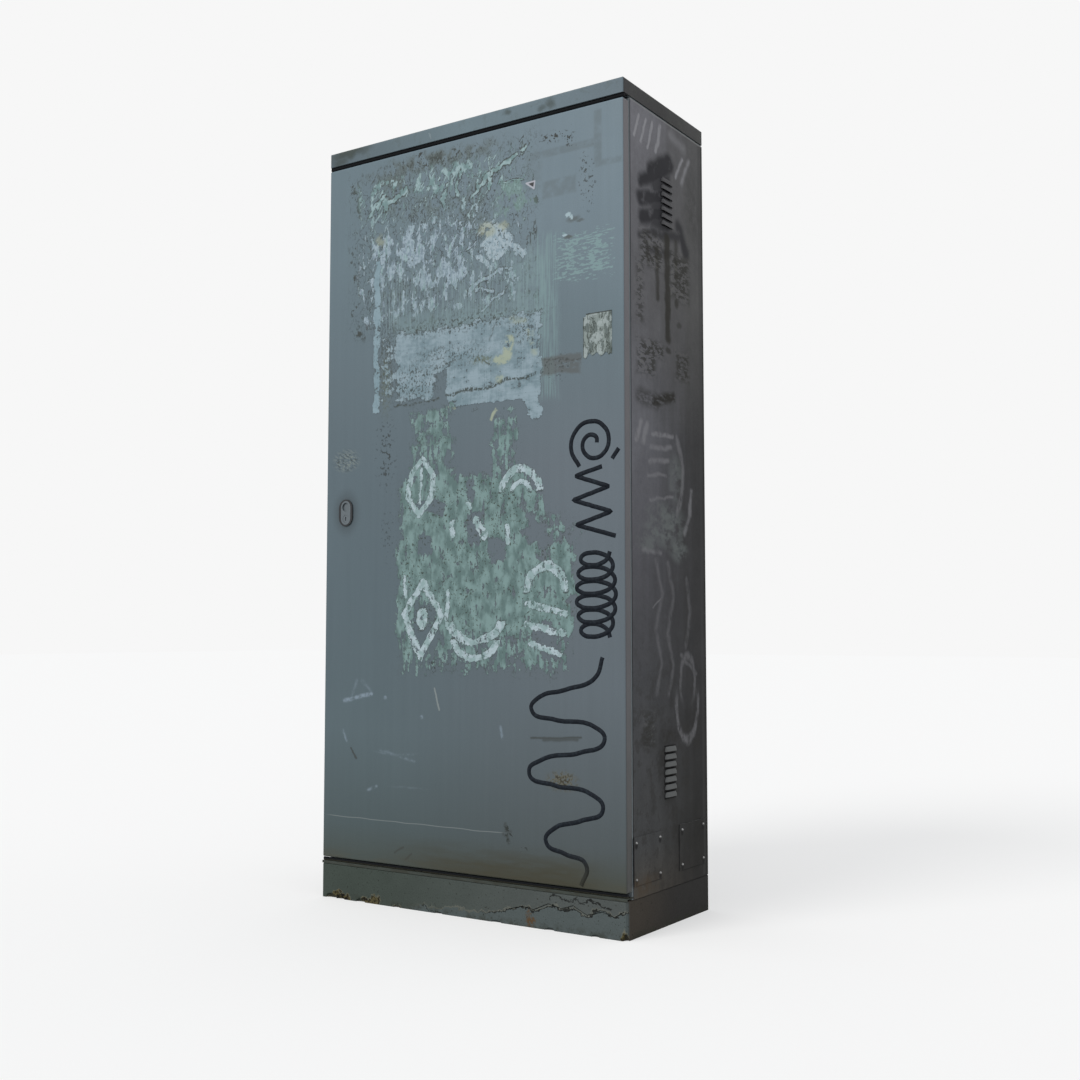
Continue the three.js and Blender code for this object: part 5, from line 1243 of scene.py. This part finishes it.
def plinth_skin():
    f = Finish("plinth_skin", roughness=0.85, specular=0.15)
    fore = f.mix(paint(67, 75, 70), paint(82, 87, 86), f.x.rises(-0.35, 0.35))
    # The right side is brown with splashed earth and painted darker as shade, most towards the
    # back; the other sides get a lighter grey.
    aside = f.mix(paint(72, 67, 61), paint(56, 55, 54), f.y.rises(-0.17, 0.06))
    aside = f.mix(paint(88, 88, 81), aside, f.x.rises(0.390, 0.403))
    front = f.y.rises(-0.170, -0.178)
    colour = f.mix(aside, fore, front)
    u, v = torn(f, f.x, f.z, 0.010, 0.003, 151)
    stops = [(-half_wide, 0.0), (-0.17, 0.0), (-0.12, 0.012), (0.0, 0.018), (0.09, 0.022)]
    stops += [(across * door_high[0], up * plinth_top) for across, up in crack_line]
    wide = 2 * half_wide
    height = f.ramp((f.x + half_wide) / wide,
                    [((x + half_wide) / wide, (z * 10.0,) * 3 + (1.0,)) for x, z in stops])
    over = v - Field(f, height) / 10.0
    peeled = over.rises(0.0014, -0.0014) * f.x.rises(-0.16, -0.12)
    colour = f.mix(colour, paint(84, 93, 94), peeled * front * 0.7)
    lip = over.rises(0.0, 0.0015) * over.rises(0.0050, 0.0030) * f.x.rises(-0.16, -0.05)
    colour = f.mix(colour, paint(112, 113, 104), lip * front * 0.5)
    line = abs(over).rises(0.0021, 0.0009) * f.x.rises(0.02, 0.10)
    line = any_of(
        marks(bar, u, v, [
            ((0.225, 0.068), (0.315, 0.066), 0.0030, 0.0012, 1),
            ((0.315, 0.066), (0.372, 0.057), 0.0040, 0.0012, 1),
            ((-0.115, 0.013), (-0.060, 0.004), 0.0022, 0.0010, 1),
        ]),
        line,
    )
    colour = f.mix(colour, paint(22, 23, 22), line * front * 0.9)
    foot = f.z.rises(0.020, 0.002) * f.noise(0.03, 152, 4.0, 0.7).rises(0.42, 0.60)
    colour = f.mix(colour, paint(56, 58, 50), foot * 0.6)
    spots = f.noise(0.0065, 158, 2.0, 0.6).rises(0.665, 0.70)
    colour = f.mix(colour, paint(44, 45, 40), spots * 0.7)
    crumb = f.noise(0.008, 153, 3.0, 0.7)
    broken = marks(spot, u, v, [
        ((-0.357, 0.0), (0.040, 0.016), 0.12, 1), ((-0.262, 0.0), (0.030, 0.016), 0.12, 1),
        ((-0.180, 0.0), (0.014, 0.008), 0.2, 1), ((0.402, 0.0), (0.010, 0.018), 0.2, 1),
    ])
    # Chips: a pale rim as painted highlight, and inside, olive-brown earth with black painted
    # shadow.
    colour = f.mix(colour, paint(118, 116, 100), broken.rises(0.05, 0.5) * front * 0.6)
    chip_shadow_and_earth = f.mix(paint(22, 21, 18), paint(86, 80, 56), crumb.rises(0.42, 0.56))
    colour = f.mix(colour, chip_shadow_and_earth, broken.rises(0.5, 0.9) * front)
    rust = any_of(spot(u, v, (0.175, 0.012), (0.010, 0.014), 0.4),
                  spot(u, v, (0.172, 0.030), (0.007, 0.006), 0.4) * 0.8)
    colour = f.mix(colour, paint(90, 68, 44), rust * crumb.rises(0.38, 0.52) * front * 0.85)
    pores = f.noise(0.0035, 154, 2.0, 0.6)
    clouds = f.noise(0.07, 155, 4.0, 0.65)
    amount = (clouds - 0.5) * 0.36 + (pores - 0.5) * 0.30 + 1.0
    colour = f.shade(colour, amount)
    colour = f.mix(colour, paint(40, 42, 38), pores.rises(0.34, 0.28) * 0.6)
    f.relief(pores * 0.5 + clouds, 0.0012)
    return f.done(colour)


wear(plinth_skin(), "plinth")

# %% [markdown]
# ## Metals, rubber and plastics inside
#
# Galvanised sheet has spangles, flat crystals that each shine a little
# differently. The other inner materials get the small unevenness that moulding,
# rolling and handling leave.


# %% Galvanised sheet
def galvanised():
    f = Finish("galvanised", metallic=0.85, specular=0.5)
    spangle = f.node("ShaderNodeTexVoronoi", Vector=f.mapped(0.014, (0.0, 0.0, 0.0), 5), Scale=1.0)
    facet = f.node("ShaderNodeSeparateColor")
    f.links.new(spangle.outputs["Color"], facet.inputs[0])
    shine = Field(f, facet.outputs[0])
    colour = f.mix(paint(158, 163, 166), paint(188, 193, 196), shine)
    dust = f.noise(0.06, 161, 4.0, 0.6).rises(0.50, 0.72)
    colour = f.mix(colour, paint(142, 142, 138), dust * 0.5)
    return f.done(colour, shine * 0.14 + dust * 0.2 + 0.32)


# %% Plain materials with a little unevenness
def simple(name, colour, roughness, metallic=0.0, specular=0.4, grain=0.003, depth=0.0001,
           spread=0.10):
    f = Finish(name, metallic=metallic, specular=specular)
    soft = f.noise(0.04, 171, 3.0, 0.6)
    fine = f.noise(grain, 172, 2.0, 0.6)
    tone = f.shade(colour, (soft - 0.5) * spread * 2 + (fine - 0.5) * spread + 1.0)
    f.relief(fine, depth)
    return f.done(tone, soft * 0.2 + (roughness - 0.1))


zinc = galvanised()
rubber = simple("black_rubber", paint(38, 38, 38), 0.75, specular=0.2)
black_plastic = simple("black_plastic", paint(34, 37, 40), 0.5, depth=0.00005)
bright_steel = simple("bright_steel", paint(180, 180, 178), 0.35, metallic=1.0)
dull_chrome = simple("dull_chrome", paint(99, 107, 112), 0.42, metallic=0.35, grain=0.002)
nylon = simple("nylon", paint(205, 200, 188), 0.5)
light_plastic = simple("light_plastic", paint(205, 206, 202), 0.38, depth=0.00003, spread=0.03)
red_plastic = simple("red_plastic", paint(168, 38, 32), 0.35, depth=0.00003, spread=0.05)
grey_plastic = simple("grey_plastic", paint(132, 135, 134), 0.5, spread=0.04)
copper = simple("copper", paint(196, 124, 92), 0.3, metallic=1.0, spread=0.12)

finish_of_slot = {
    "zinc": zinc, "rubber": rubber, "rivet_steel": bright_steel, "lock_black": black_plastic,
    "lock_metal": dull_chrome, "nylon": nylon, "light_plastic": light_plastic,
    "red_plastic": red_plastic, "grey_plastic": grey_plastic, "copper": copper,
}
for part in frame["record"]["subparts"]:
    if part["material_slot"] in finish_of_slot:
        wear(finish_of_slot[part["material_slot"]], part["node"])

# %% [markdown]
# ## Building with Geometry Nodes
#
# Strokes, rivets and screws repeat or follow a path, so they are grown by node
# trees. `Tree` is a short way to write one: it keeps named inputs, so that one
# tree serves every stroke or every screw, and each result is turned into a plain
# mesh of its own with nothing live left on it.


# %% A node tree that makes a mesh
class Tree:
    def __init__(self, name, **sizes):
        self.tree = bpy.data.node_groups.new(name, "GeometryNodeTree")
        face = self.tree.interface
        face.new_socket("Geometry", in_out="INPUT", socket_type="NodeSocketGeometry")
        face.new_socket("Geometry", in_out="OUTPUT", socket_type="NodeSocketGeometry")
        self.known = {}
        for label, kind in sizes.items():
            made = face.new_socket(label, in_out="INPUT", socket_type="NodeSocket" + kind)
            self.known[label] = made.identifier
        self.start = self.tree.nodes.new("NodeGroupInput")
        self.end = self.tree.nodes.new("NodeGroupOutput")

    def add(self, kind, settings=None, **inputs):
        made = self.tree.nodes.new(kind)
        for label, value in (settings or {}).items():
            setattr(made, label, value)
        for label, value in inputs.items():
            self.set(made.inputs[label.replace("_", " ")], value)
        return made

    def set(self, socket, value):
        if isinstance(value, bpy.types.Node):
            value = value.outputs[0]
        if isinstance(value, bpy.types.NodeSocket):
            self.tree.links.new(value, socket)
        else:
            socket.default_value = value

    def given(self, label):
        return self.start.outputs[label]

    def calc(self, kind, operation, *values):
        made = self.add(kind, {"operation": operation})
        for socket, value in zip(made.inputs, values):
            self.set(socket, value)
        return made

    def vector(self, operation, *values, **named):
        made = self.calc("ShaderNodeVectorMath", operation, *values)
        for label, value in named.items():
            self.set(made.inputs[label], value)
        return made

    def finish_with(self, node):
        """Ends the tree as the export needs it: real faces, with their material set."""
        real = self.add("GeometryNodeRealizeInstances", Geometry=node)
        last = self.add("GeometryNodeSetMaterial", Geometry=real,
                        Material=self.given("Material"))
        self.tree.links.new(last.outputs[0], self.end.inputs[0])

    def grow(self, name, seed_object, place, **values):
        """Runs the tree on an object and returns a plain mesh object at its place."""
        modifier = seed_object.modifiers.new("grow", "NODES")
        modifier.node_group = self.tree
        for label, value in values.items():
            modifier[self.known[label]] = value
        bpy.context.view_layer.update()
        graph = bpy.context.evaluated_depsgraph_get()
        mesh = bpy.data.meshes.new_from_object(seed_object.evaluated_get(graph))
        mesh.transform(place)
        made = bpy.data.objects.new(name, mesh)
        bpy.context.scene.collection.objects.link(made)
        bpy.data.objects.remove(seed_object, do_unlink=True)
        print(name, len(mesh.polygons), "faces")
        return made


def facing(right, up, origin):
    """The turn that lays a flat drawing on a face, its x along right and its y along up."""
    right, up = Vector(right), Vector(up)
    out = right.cross(up)
    turn = Matrix((right, up, out)).transposed().to_4x4()
    return Matrix.Translation(origin) @ turn


door_face = facing((1, 0, 0), (0, 0, 1), (0.0, door_front, 0.0))
right_face = facing((0, 1, 0), (0, 0, 1), (panel_face, 0.0, 0.0))

# %% [markdown]
# ## Marker strokes on the door
#
# A broad black marker ran up the right side of the door. Its line is a ribbon of
# ink: a thin flat profile swept along a curve, a little wider where the hand
# slowed down. The profile reaches just under the paint and stands a tenth of a
# millimetre proud, and it climbs a hair along its length so that crossings lie
# on one another. The drawing is a coil, a zigzag, a swirl and a wave.

# %% The stroke tree
shakes_per_metre = 60.0
strokes = Tree("ink_stroke", Width="Float", Thickness="Float", Step="Float", Wobble="Float",
               Climb="Float", Material="Material")
even = strokes.add("GeometryNodeResampleCurve", {"mode": "LENGTH"},
                   Curve=strokes.given("Geometry"), Length=strokes.given("Step"))
shake = strokes.add("ShaderNodeTexNoise", Scale=shakes_per_metre, Detail=1.0,
                    Vector=strokes.add("GeometryNodeInputPosition"))
centred = strokes.vector("SUBTRACT", shake.outputs["Color"], (0.5, 0.5, 0.5))
flat = strokes.vector("MULTIPLY", centred, (1.0, 1.0, 0.0))
small = strokes.vector("SCALE", flat, Scale=strokes.given("Wobble"))
along = strokes.add("GeometryNodeSplineParameter").outputs["Factor"]
rise = strokes.calc("ShaderNodeMath", "MULTIPLY", along, strokes.given("Climb"))
shift = strokes.vector("ADD", small, strokes.add("ShaderNodeCombineXYZ", Z=rise))
moved = strokes.add("GeometryNodeSetPosition", Geometry=even, Offset=shift)
upright = strokes.add("GeometryNodeSetCurveNormal", {"mode": "Z_UP"}, Curve=moved)
flat_profile = strokes.add("GeometryNodeCurvePrimitiveQuadrilateral",
                           Width=strokes.given("Width"), Height=strokes.given("Thickness"))
swept = strokes.add("GeometryNodeCurveToMesh", Curve=upright, Profile_Curve=flat_profile,
                    Fill_Caps=True)
strokes.finish_with(swept)


def stroke_curve(name, smooth, sharp=()):
    """A curve object with one spline per run of (across, up, width share) points."""
    data = bpy.data.curves.new(name, "CURVE")
    data.dimensions = "3D"
    for run in (*smooth, *sharp):
        spline = data.splines.new("BEZIER")
        spline.bezier_points.add(len(run) - 1)
        for point, place in zip(spline.bezier_points, run):
            point.co = (place[0], place[1], 0.0)
            point.radius = place[2] if len(place) > 2 else 1.0
            kind = "AUTO" if run in smooth else "VECTOR"
            point.handle_left_type = point.handle_right_type = kind
    made = bpy.data.objects.new(name, data)
    bpy.context.scene.collection.objects.link(made)
    return made


# %% Ink
def marker_ink():
    f = Finish("marker_ink", specular=0.08)
    worn = f.noise(0.006, 201, 3.0, 0.6)
    colour = f.mix(paint(30, 34, 40), paint(42, 48, 54), worn.rises(0.45, 0.7))
    foot = f.z.rises(0.17, 0.10)
    colour = f.mix(colour, paint(62, 62, 52), foot * 0.6)
    f.relief(worn, 0.00008)
    return f.done(colour, worn * 0.2 + 0.5)


ink = marker_ink()
wave = [(0.352, 0.560, 1.0), (0.336, 0.520, 1.1), (0.262, 0.492, 1.0), (0.196, 0.474, 1.0),
        (0.178, 0.450, 1.1), (0.236, 0.430, 0.8), (0.330, 0.420, 0.8), (0.356, 0.394, 1.1),
        (0.300, 0.366, 1.0), (0.204, 0.346, 1.0), (0.172, 0.318, 1.1), (0.232, 0.296, 0.8),
        (0.322, 0.284, 0.8), (0.352, 0.256, 1.1), (0.300, 0.228, 1.0), (0.232, 0.206, 1.0),
        (0.214, 0.180, 1.1), (0.262, 0.158, 0.8), (0.312, 0.140, 0.9), (0.300, 0.098, 0.8)]
spring_turns = 6
spring_points = 10


def spring(left, right, low, high):
    """A coil drawn flat: wide low loops, one above the other, wider towards its middle."""
    run = []
    for step in range(spring_turns * spring_points + 1):
        share = step / (spring_turns * spring_points)
        turn = 2 * math.pi * step / spring_points
        reach = (right - left) / 2 * (0.70 + 0.30 * math.sin(share * math.pi))
        across = (left + right) / 2 + reach * math.cos(turn)
        up = low + (high - low) * share + 0.020 * math.sin(turn)
        run.append((across, up, 1.05 + 0.25 * math.sin(turn)))
    return run


teeth = [(0.384, 0.806, 1.1), (0.290, 0.832, 1.2), (0.374, 0.856, 1.0), (0.282, 0.884, 1.2),
         (0.368, 0.908, 1.0), (0.288, 0.934, 1.2), (0.352, 0.950, 1.0)]
swirl = [(0.330 + (0.010 + 0.0036 * step) * math.cos(0.8 * step),
          1.000 + (0.010 + 0.0036 * step) * math.sin(0.8 * step),
          0.9 + 0.03 * step) for step in range(14)]
dash = [(0.376, 0.964, 1.1), (0.392, 0.984, 1.1)]
loops = [spring(0.290, 0.384, 0.600, 0.775), swirl, dash]
marker_path = stroke_curve("marker_path", [wave] + loops, [teeth])
marker = strokes.grow("marker_strokes", marker_path, door_face,
                      Width=0.0094, Thickness=0.0003, Step=0.004, Wobble=0.0016, Climb=0.00008,
                      Material=ink)
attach(marker, "door")

# %% [markdown]
# ## Rivets
#
# Each blanking plate is held by four blind rivets with low domed heads. The model
# has them as plain solids. Here one tree sets a smooth dome on every place, and
# the domes stand for the model's rivets.

# %% The fastener tree
heads = Tree("fastener_heads", Head="Object", Material="Material")
points = heads.add("GeometryNodeMeshToPoints", Mesh=heads.given("Geometry"))
which = heads.add("GeometryNodeObjectInfo", Object=heads.given("Head"))
placed = heads.add("GeometryNodeInstanceOnPoints", Points=points)
heads.set(placed.inputs["Instance"], which.outputs["Geometry"])
heads.finish_with(placed)


def lathe(name, outline, sides=20):
    """A head turned from an outline of (radius, height)."""
    shape = bmesh.new()
    rows = []
    for radius, height in outline:
        if radius == 0.0:
            rows.append([shape.verts.new((0.0, 0.0, height))])
            continue
        row = []
        for step in range(sides):
            turn = 2 * math.pi * step / sides
            row.append(shape.verts.new((radius * math.cos(turn), radius * math.sin(turn), height)))
        rows.append(row)
    for low, high in zip(rows, rows[1:]):
        for step in range(sides):
            after = (step + 1) % sides
            ring_of = [low[step % len(low)], low[after % len(low)],
                       high[after % len(high)], high[step % len(high)]]
            shape.faces.new(list(dict.fromkeys(ring_of)))
    bmesh.ops.recalc_face_normals(shape, faces=shape.faces)
    for face in shape.faces:
        face.smooth = sides > 8
    mesh = bpy.data.meshes.new(name)
    shape.to_mesh(mesh)
    shape.free()
    made = bpy.data.objects.new(name, mesh)
    bpy.context.scene.collection.objects.link(made)
    return made


def fasten(name, head, spots, place, finish, body):
    """One head at every (across, up, out) spot of a face, as one mesh."""
    mesh = bpy.data.meshes.new(name + "_spots")
    mesh.from_pydata(spots, [], [])
    seed = bpy.data.objects.new(name + "_spots", mesh)
    bpy.context.scene.collection.objects.link(seed)
    made = heads.grow(name, seed, place, Head=head, Material=finish)
    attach(made, body)
    return made


# %% Rivet heads in the places of the model's rivets
rivet_names = sorted(name for name in frame["nodes"] if name.startswith("rivet_"))


def rivet_finish():
    """Weathered steel, bright above, with the lower half of each head painted black as shade."""
    f = Finish("rivet_steel", metallic=0.25, specular=0.5)
    under = []
    for name in rivet_names:
        at_low, at_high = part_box(name)
        under.append(patch(f.y, f.z, at_low[1] - 0.001, at_high[1] + 0.001,
                           at_low[2] - 0.001, centre(name)[2] - 0.0004, 0.0012))
    dirt = f.noise(0.003, 191, 2.0)
    colour = f.mix(paint(176, 176, 176), paint(128, 128, 126), dirt.rises(0.4, 0.6))
    # Painted shade: the lower half of each head is coloured black.
    colour = f.mix(colour, paint(22, 22, 22), any_of(*under) * 0.95)
    f.relief(dirt, 0.0001)
    return f.done(colour, dirt * 0.2 + 0.35)


first_low, first_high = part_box(rivet_names[0])
rivet_radius = (first_high[1] - first_low[1]) / 2
rivet_spots = [(*centre(name)[1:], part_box(name)[0][0] - panel_face) for name in rivet_names]
rivet_tall = first_high[0] - first_low[0]
dome = [(0.0, 0.0)] + [(rivet_radius * math.cos(math.radians(a)),
                        rivet_tall * (0.15 + 0.85 * math.sin(math.radians(a))))
                       for a in range(0, 90, 15)] + [(0.0, rivet_tall)]
dome.insert(1, (rivet_radius * 0.98, 0.0))
rivet_head = lathe("rivet_head", dome, 24)
rivets = fasten("rivet_heads", rivet_head, rivet_spots, right_face, rivet_finish(), "cabinet")
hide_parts(*rivet_names)
bpy.data.objects.remove(rivet_head, do_unlink=True)

# %% [markdown]
# ## Screws and bolts inside
#
# With the door open, the fittings need their screws. Sinking them as plain discs
# would do from far away; a turned head with a socket in it holds up close by. The
# spots are found by sending a ray at each fitting, so that every head sits on the
# real surface whatever its shape, and the same tree as for the rivets places them.

# %% Two kinds of head
pan_outline = [(0.0, 0.0006), (0.0009, 0.0006), (0.0010, 0.0016), (0.0016, 0.0019),
               (0.0024, 0.0016), (0.0030, 0.0010), (0.0032, 0.0), (0.0, 0.0)]
pan_head = lathe("pan_head", pan_outline, 16)
bolt_head = lathe("washer", [(0.0, 0.0), (0.0080, 0.0), (0.0080, 0.0014), (0.0075, 0.0018),
                             (0.0, 0.0018)], 24)
hexagon = lathe("hexagon", [(0.0, 0.0016), (0.0065, 0.0016), (0.0065, 0.0058), (0.0058, 0.0066),
                            (0.0, 0.0066)], 6)
both_parts = bmesh.new()
for piece in (bolt_head, hexagon):
    both_parts.from_mesh(piece.data)
both_parts.to_mesh(bolt_head.data)
both_parts.free()
bpy.data.objects.remove(hexagon, do_unlink=True)


seen_from = 2.0
square_on = 0.9


def onto(node, places, side):
    """(across, up, out) spots on a node's surface, seen from the front (-1) or the back (1)."""
    spots = []
    for across, up in places:
        hit, point, normal, _ = frame["nodes"][node].ray_cast(
            Vector((across, side * seen_from, up)), Vector((0.0, -side, 0.0)))
        if hit and abs(normal.y) > square_on:
            spots.append((across * -side, up, side * point.y))
        else:
            print("no surface for a screw on", node, across, up)
    return spots


from_front = facing((1, 0, 0), (0, 0, 1), (0.0, 0.0, 0.0))
from_back = facing((-1, 0, 0), (0, 0, 1), (0.0, 0.0, 0.0))

# %% Bolts of the mounting plate and the busbars
bolt_spots = onto("mounting_plate", [(x, z) for x in (-0.2865, 0.2865)
                                     for z in (0.240, 0.560, 0.960, 1.330, 1.570)], -1)
bar_spots = []
for name in ("busbar_1", "busbar_2", "busbar_3"):
    bar_spots += onto(name, [(x, centre(name)[2]) for x in (-0.262, -0.070, 0.070, 0.262)], -1)
fasten("plate_bolts", bolt_head, bolt_spots + bar_spots, from_front, bright_steel, "cabinet")

# %% Small screws of the fittings
screw_spots = []
for name, across, up in (
        ("earth_bar", [0.039875 * (n - 3.5) for n in range(8)], [0.5]),
        ("terminal_block", [-0.0945 + 0.021 * n for n in range(10)], [0.25, 0.75]),
        ("din_rail", [-0.215, 0.215], [0.5]),
        ("main_switch", [-0.064, 0.064], [0.06, 0.94]),
        ("breaker_1", [-0.072], [0.08, 0.92]),
        ("breaker_2", [0.0], [0.08, 0.92]),
        ("breaker_3", [0.072], [0.08, 0.92])):
    at_low, at_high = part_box(name)
    rows = [at_low[2] + (at_high[2] - at_low[2]) * share for share in up]
    screw_spots += onto(name, [(x, z) for x in across for z in rows], -1)
fasten("fitting_screws", pan_head, screw_spots, from_front, bright_steel, "cabinet")

door_spots = []
for name, inset_x, inset_z in (("lock_housing", 0.006, 0.006), ("rod_guide_upper", 0.003, 0.008),
                               ("rod_guide_lower", 0.003, 0.008)):
    at_low, at_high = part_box(name)
    rows = [at_low[2] + inset_z, at_high[2] - inset_z]
    door_spots += onto(name, [(x, z) for x in (at_low[0] + inset_x, at_high[0] - inset_x)
                              for z in rows], 1)
fasten("lock_screws", pan_head, door_spots, from_back, bright_steel, "door")
for spare in (pan_head, bolt_head):
    bpy.data.objects.remove(spare, do_unlink=True)

# %% [markdown]
# ## Rubber beads above and below the door
#
# Looking along the gaps over and under the door, one would see daylight past the
# cabinet's corner. A rubber bead lies in each gap just behind the door's front
# face, one under the roof cap and one on the base frame. Each is a curve swept
# with an oval, clear of the door by a millimetre.

# %% The bead tree
bead = Tree("rubber_bead", Tall="Float", Deep="Float", Material="Material")
oval = bead.add("GeometryNodeCurvePrimitiveCircle", Resolution=16, Radius=0.5)
oval_size = bead.add("ShaderNodeCombineXYZ", X=bead.given("Tall"), Y=bead.given("Deep"), Z=1.0)
shaped = bead.add("GeometryNodeTransform", Geometry=oval, Scale=oval_size)
laid_flat = bead.add("GeometryNodeSetCurveNormal", {"mode": "Z_UP"}, Curve=bead.given("Geometry"))
bead.finish_with(bead.add("GeometryNodeCurveToMesh", Curve=laid_flat, Profile_Curve=shaped,
                          Fill_Caps=True))

cap_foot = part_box("roof_cap")[0][2]
sill_top = 0.083
bead_depth = 0.006


def bead_skin():
    """Black rubber, with settled dust on its lowest part."""
    f = Finish("bead_rubber", specular=0.1)
    dust = f.z.rises(sill_top + 0.0038, sill_top + 0.0022)
    grain = f.noise(0.004, 181, 2.0)
    colour = f.mix(paint(20, 22, 25), paint(62, 61, 53), dust * grain.rises(0.2, 0.5))
    return f.done(colour, grain * 0.2 + 0.6)


bead_rubber = bead_skin()
for name, low, high in (("bead_over_door", door_high[2] + 0.001, cap_foot),
                        ("bead_under_door", sill_top, door_low[2] - 0.001)):
    reach_x = door_high[0] - 0.0003
    line = stroke_curve(name + "_path", [], [[(x, (low + high) / 2) for x in
                                              (-reach_x, -reach_x / 2, 0.0, reach_x / 2, reach_x)]])
    made = bead.grow(name, line, facing((1, 0, 0), (0, 0, 1), (0.0, door_front + 0.0055, 0.0)),
                     Tall=high - low, Deep=bead_depth, Material=bead_rubber)
    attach(made, "cabinet")

# %% [markdown]
# ## A torn label
#
# A blank paper label still clings to the door at the right. Its lower edge is torn
# to rags, rain has crumpled it into upright folds, and a corner is missing. It is
# a fine grid of points, lifted by noise, closed at its border and its back.

# %% Label
label_left, label_right = 0.308, 0.377
label_foot, label_head = 1.1765, 1.272
label_columns, label_rows = 46, 60
torn_foot = [(0.0, 0.003), (0.08, 0.000), (0.22, 0.012), (0.32, 0.004), (0.47, 0.011),
             (0.62, 0.001), (0.80, 0.010), (0.90, 0.002), (1.0, 0.005)]


def label_outline(x):
    """Lowest and highest point of the label at x."""
    share = (x - label_left) / (label_right - label_left)
    for (start, low), (end, high) in zip(torn_foot, torn_foot[1:]):
        if start <= share <= end:
            rag = low + (high - low) * (share - start) / (end - start)
    rag += 0.004 * abs(rough_ground.noise(Vector((share * 23.0, 7.7, 0.0))))
    missing = 0.007 if share < 0.10 else 0.0
    return label_foot + rag, label_head - missing


def label_fold(x, z):
    """How far the paper stands off the door at a point."""
    fold = rough_ground.turbulence(Vector((x / 0.011, z / 0.040, 1.3)), 4, True)
    crease = abs(rough_ground.noise(Vector((x / 0.024, z / 0.018, 5.9))))
    return 0.0003 + 0.0008 * fold + 0.0006 * crease


label_shape = bmesh.new()
front_points = []
for column in range(label_columns + 1):
    x = label_left + (label_right - label_left) * column / label_columns
    foot, head = label_outline(x)
    line = []
    for row in range(label_rows + 1):
        z = foot + (head - foot) * row / label_rows
        sway = 0.0010 * rough_ground.noise(Vector((z / 0.012, 0.0, 9.0)))
        line.append(label_shape.verts.new((x + sway, door_front - label_fold(x, z), z)))
    front_points.append(line)
for left, right in zip(front_points, front_points[1:]):
    for row in range(label_rows):
        label_shape.faces.new((left[row], right[row], right[row + 1], left[row + 1]))
rim_edges = [edge for edge in label_shape.edges if len(edge.link_faces) == 1]
pulled = bmesh.ops.extrude_edge_only(label_shape, edges=rim_edges)
for vertex in [item for item in pulled["geom"] if isinstance(item, bmesh.types.BMVert)]:
    vertex.co.y = door_front + 0.0001
back_edges = [edge for edge in label_shape.edges if len(edge.link_faces) == 1]
bmesh.ops.contextual_create(label_shape, geom=back_edges)
bmesh.ops.triangulate(label_shape, faces=[f for f in label_shape.faces if len(f.verts) > 4])
bmesh.ops.recalc_face_normals(label_shape, faces=label_shape.faces)
for face in label_shape.faces:
    face.smooth = True
label_mesh = bpy.data.meshes.new("torn_label")
label_shape.to_mesh(label_mesh)
label_shape.free()
label = bpy.data.objects.new("torn_label", label_mesh)
bpy.context.scene.collection.objects.link(label)


def label_paper():
    f = Finish("label_paper", specular=0.1)
    upright = f.noise((0.0085, 0.01, 0.034), 211, 4.0, 0.65)
    blotch = f.noise((0.016, 0.01, 0.024), 212, 4.0, 0.7)
    colour = f.mix(paint(102, 112, 111), paint(136, 147, 145), upright.rises(0.38, 0.62))
    # Painted highlight on the crests of the crumpled paper.
    colour = f.mix(colour, paint(164, 175, 175), blotch.rises(0.52, 0.60) * 0.8)
    # Painted shade in its creases.
    crease_shade = abs(upright - 0.5).rises(0.034, 0.012)
    colour = f.mix(colour, paint(58, 64, 58), crease_shade * blotch.rises(0.60, 0.46) * 0.85)
    colour = f.mix(colour, paint(72, 79, 72), blotch.rises(0.40, 0.34) * 0.7)
    edge = f.z.rises(label_head - 0.0035, label_head - 0.0010)
    edge = edge.or_more(f.x.rises(label_left + 0.0028, label_left + 0.0010) * 0.7)
    colour = f.mix(colour, paint(44, 48, 44), edge * 0.85)
    f.relief(upright, 0.0004)
    return f.done(colour, blotch * 0.2 + 0.65)


label_mesh.materials.append(label_paper())
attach(label, "door")
print("label", len(label_mesh.polygons), "faces")
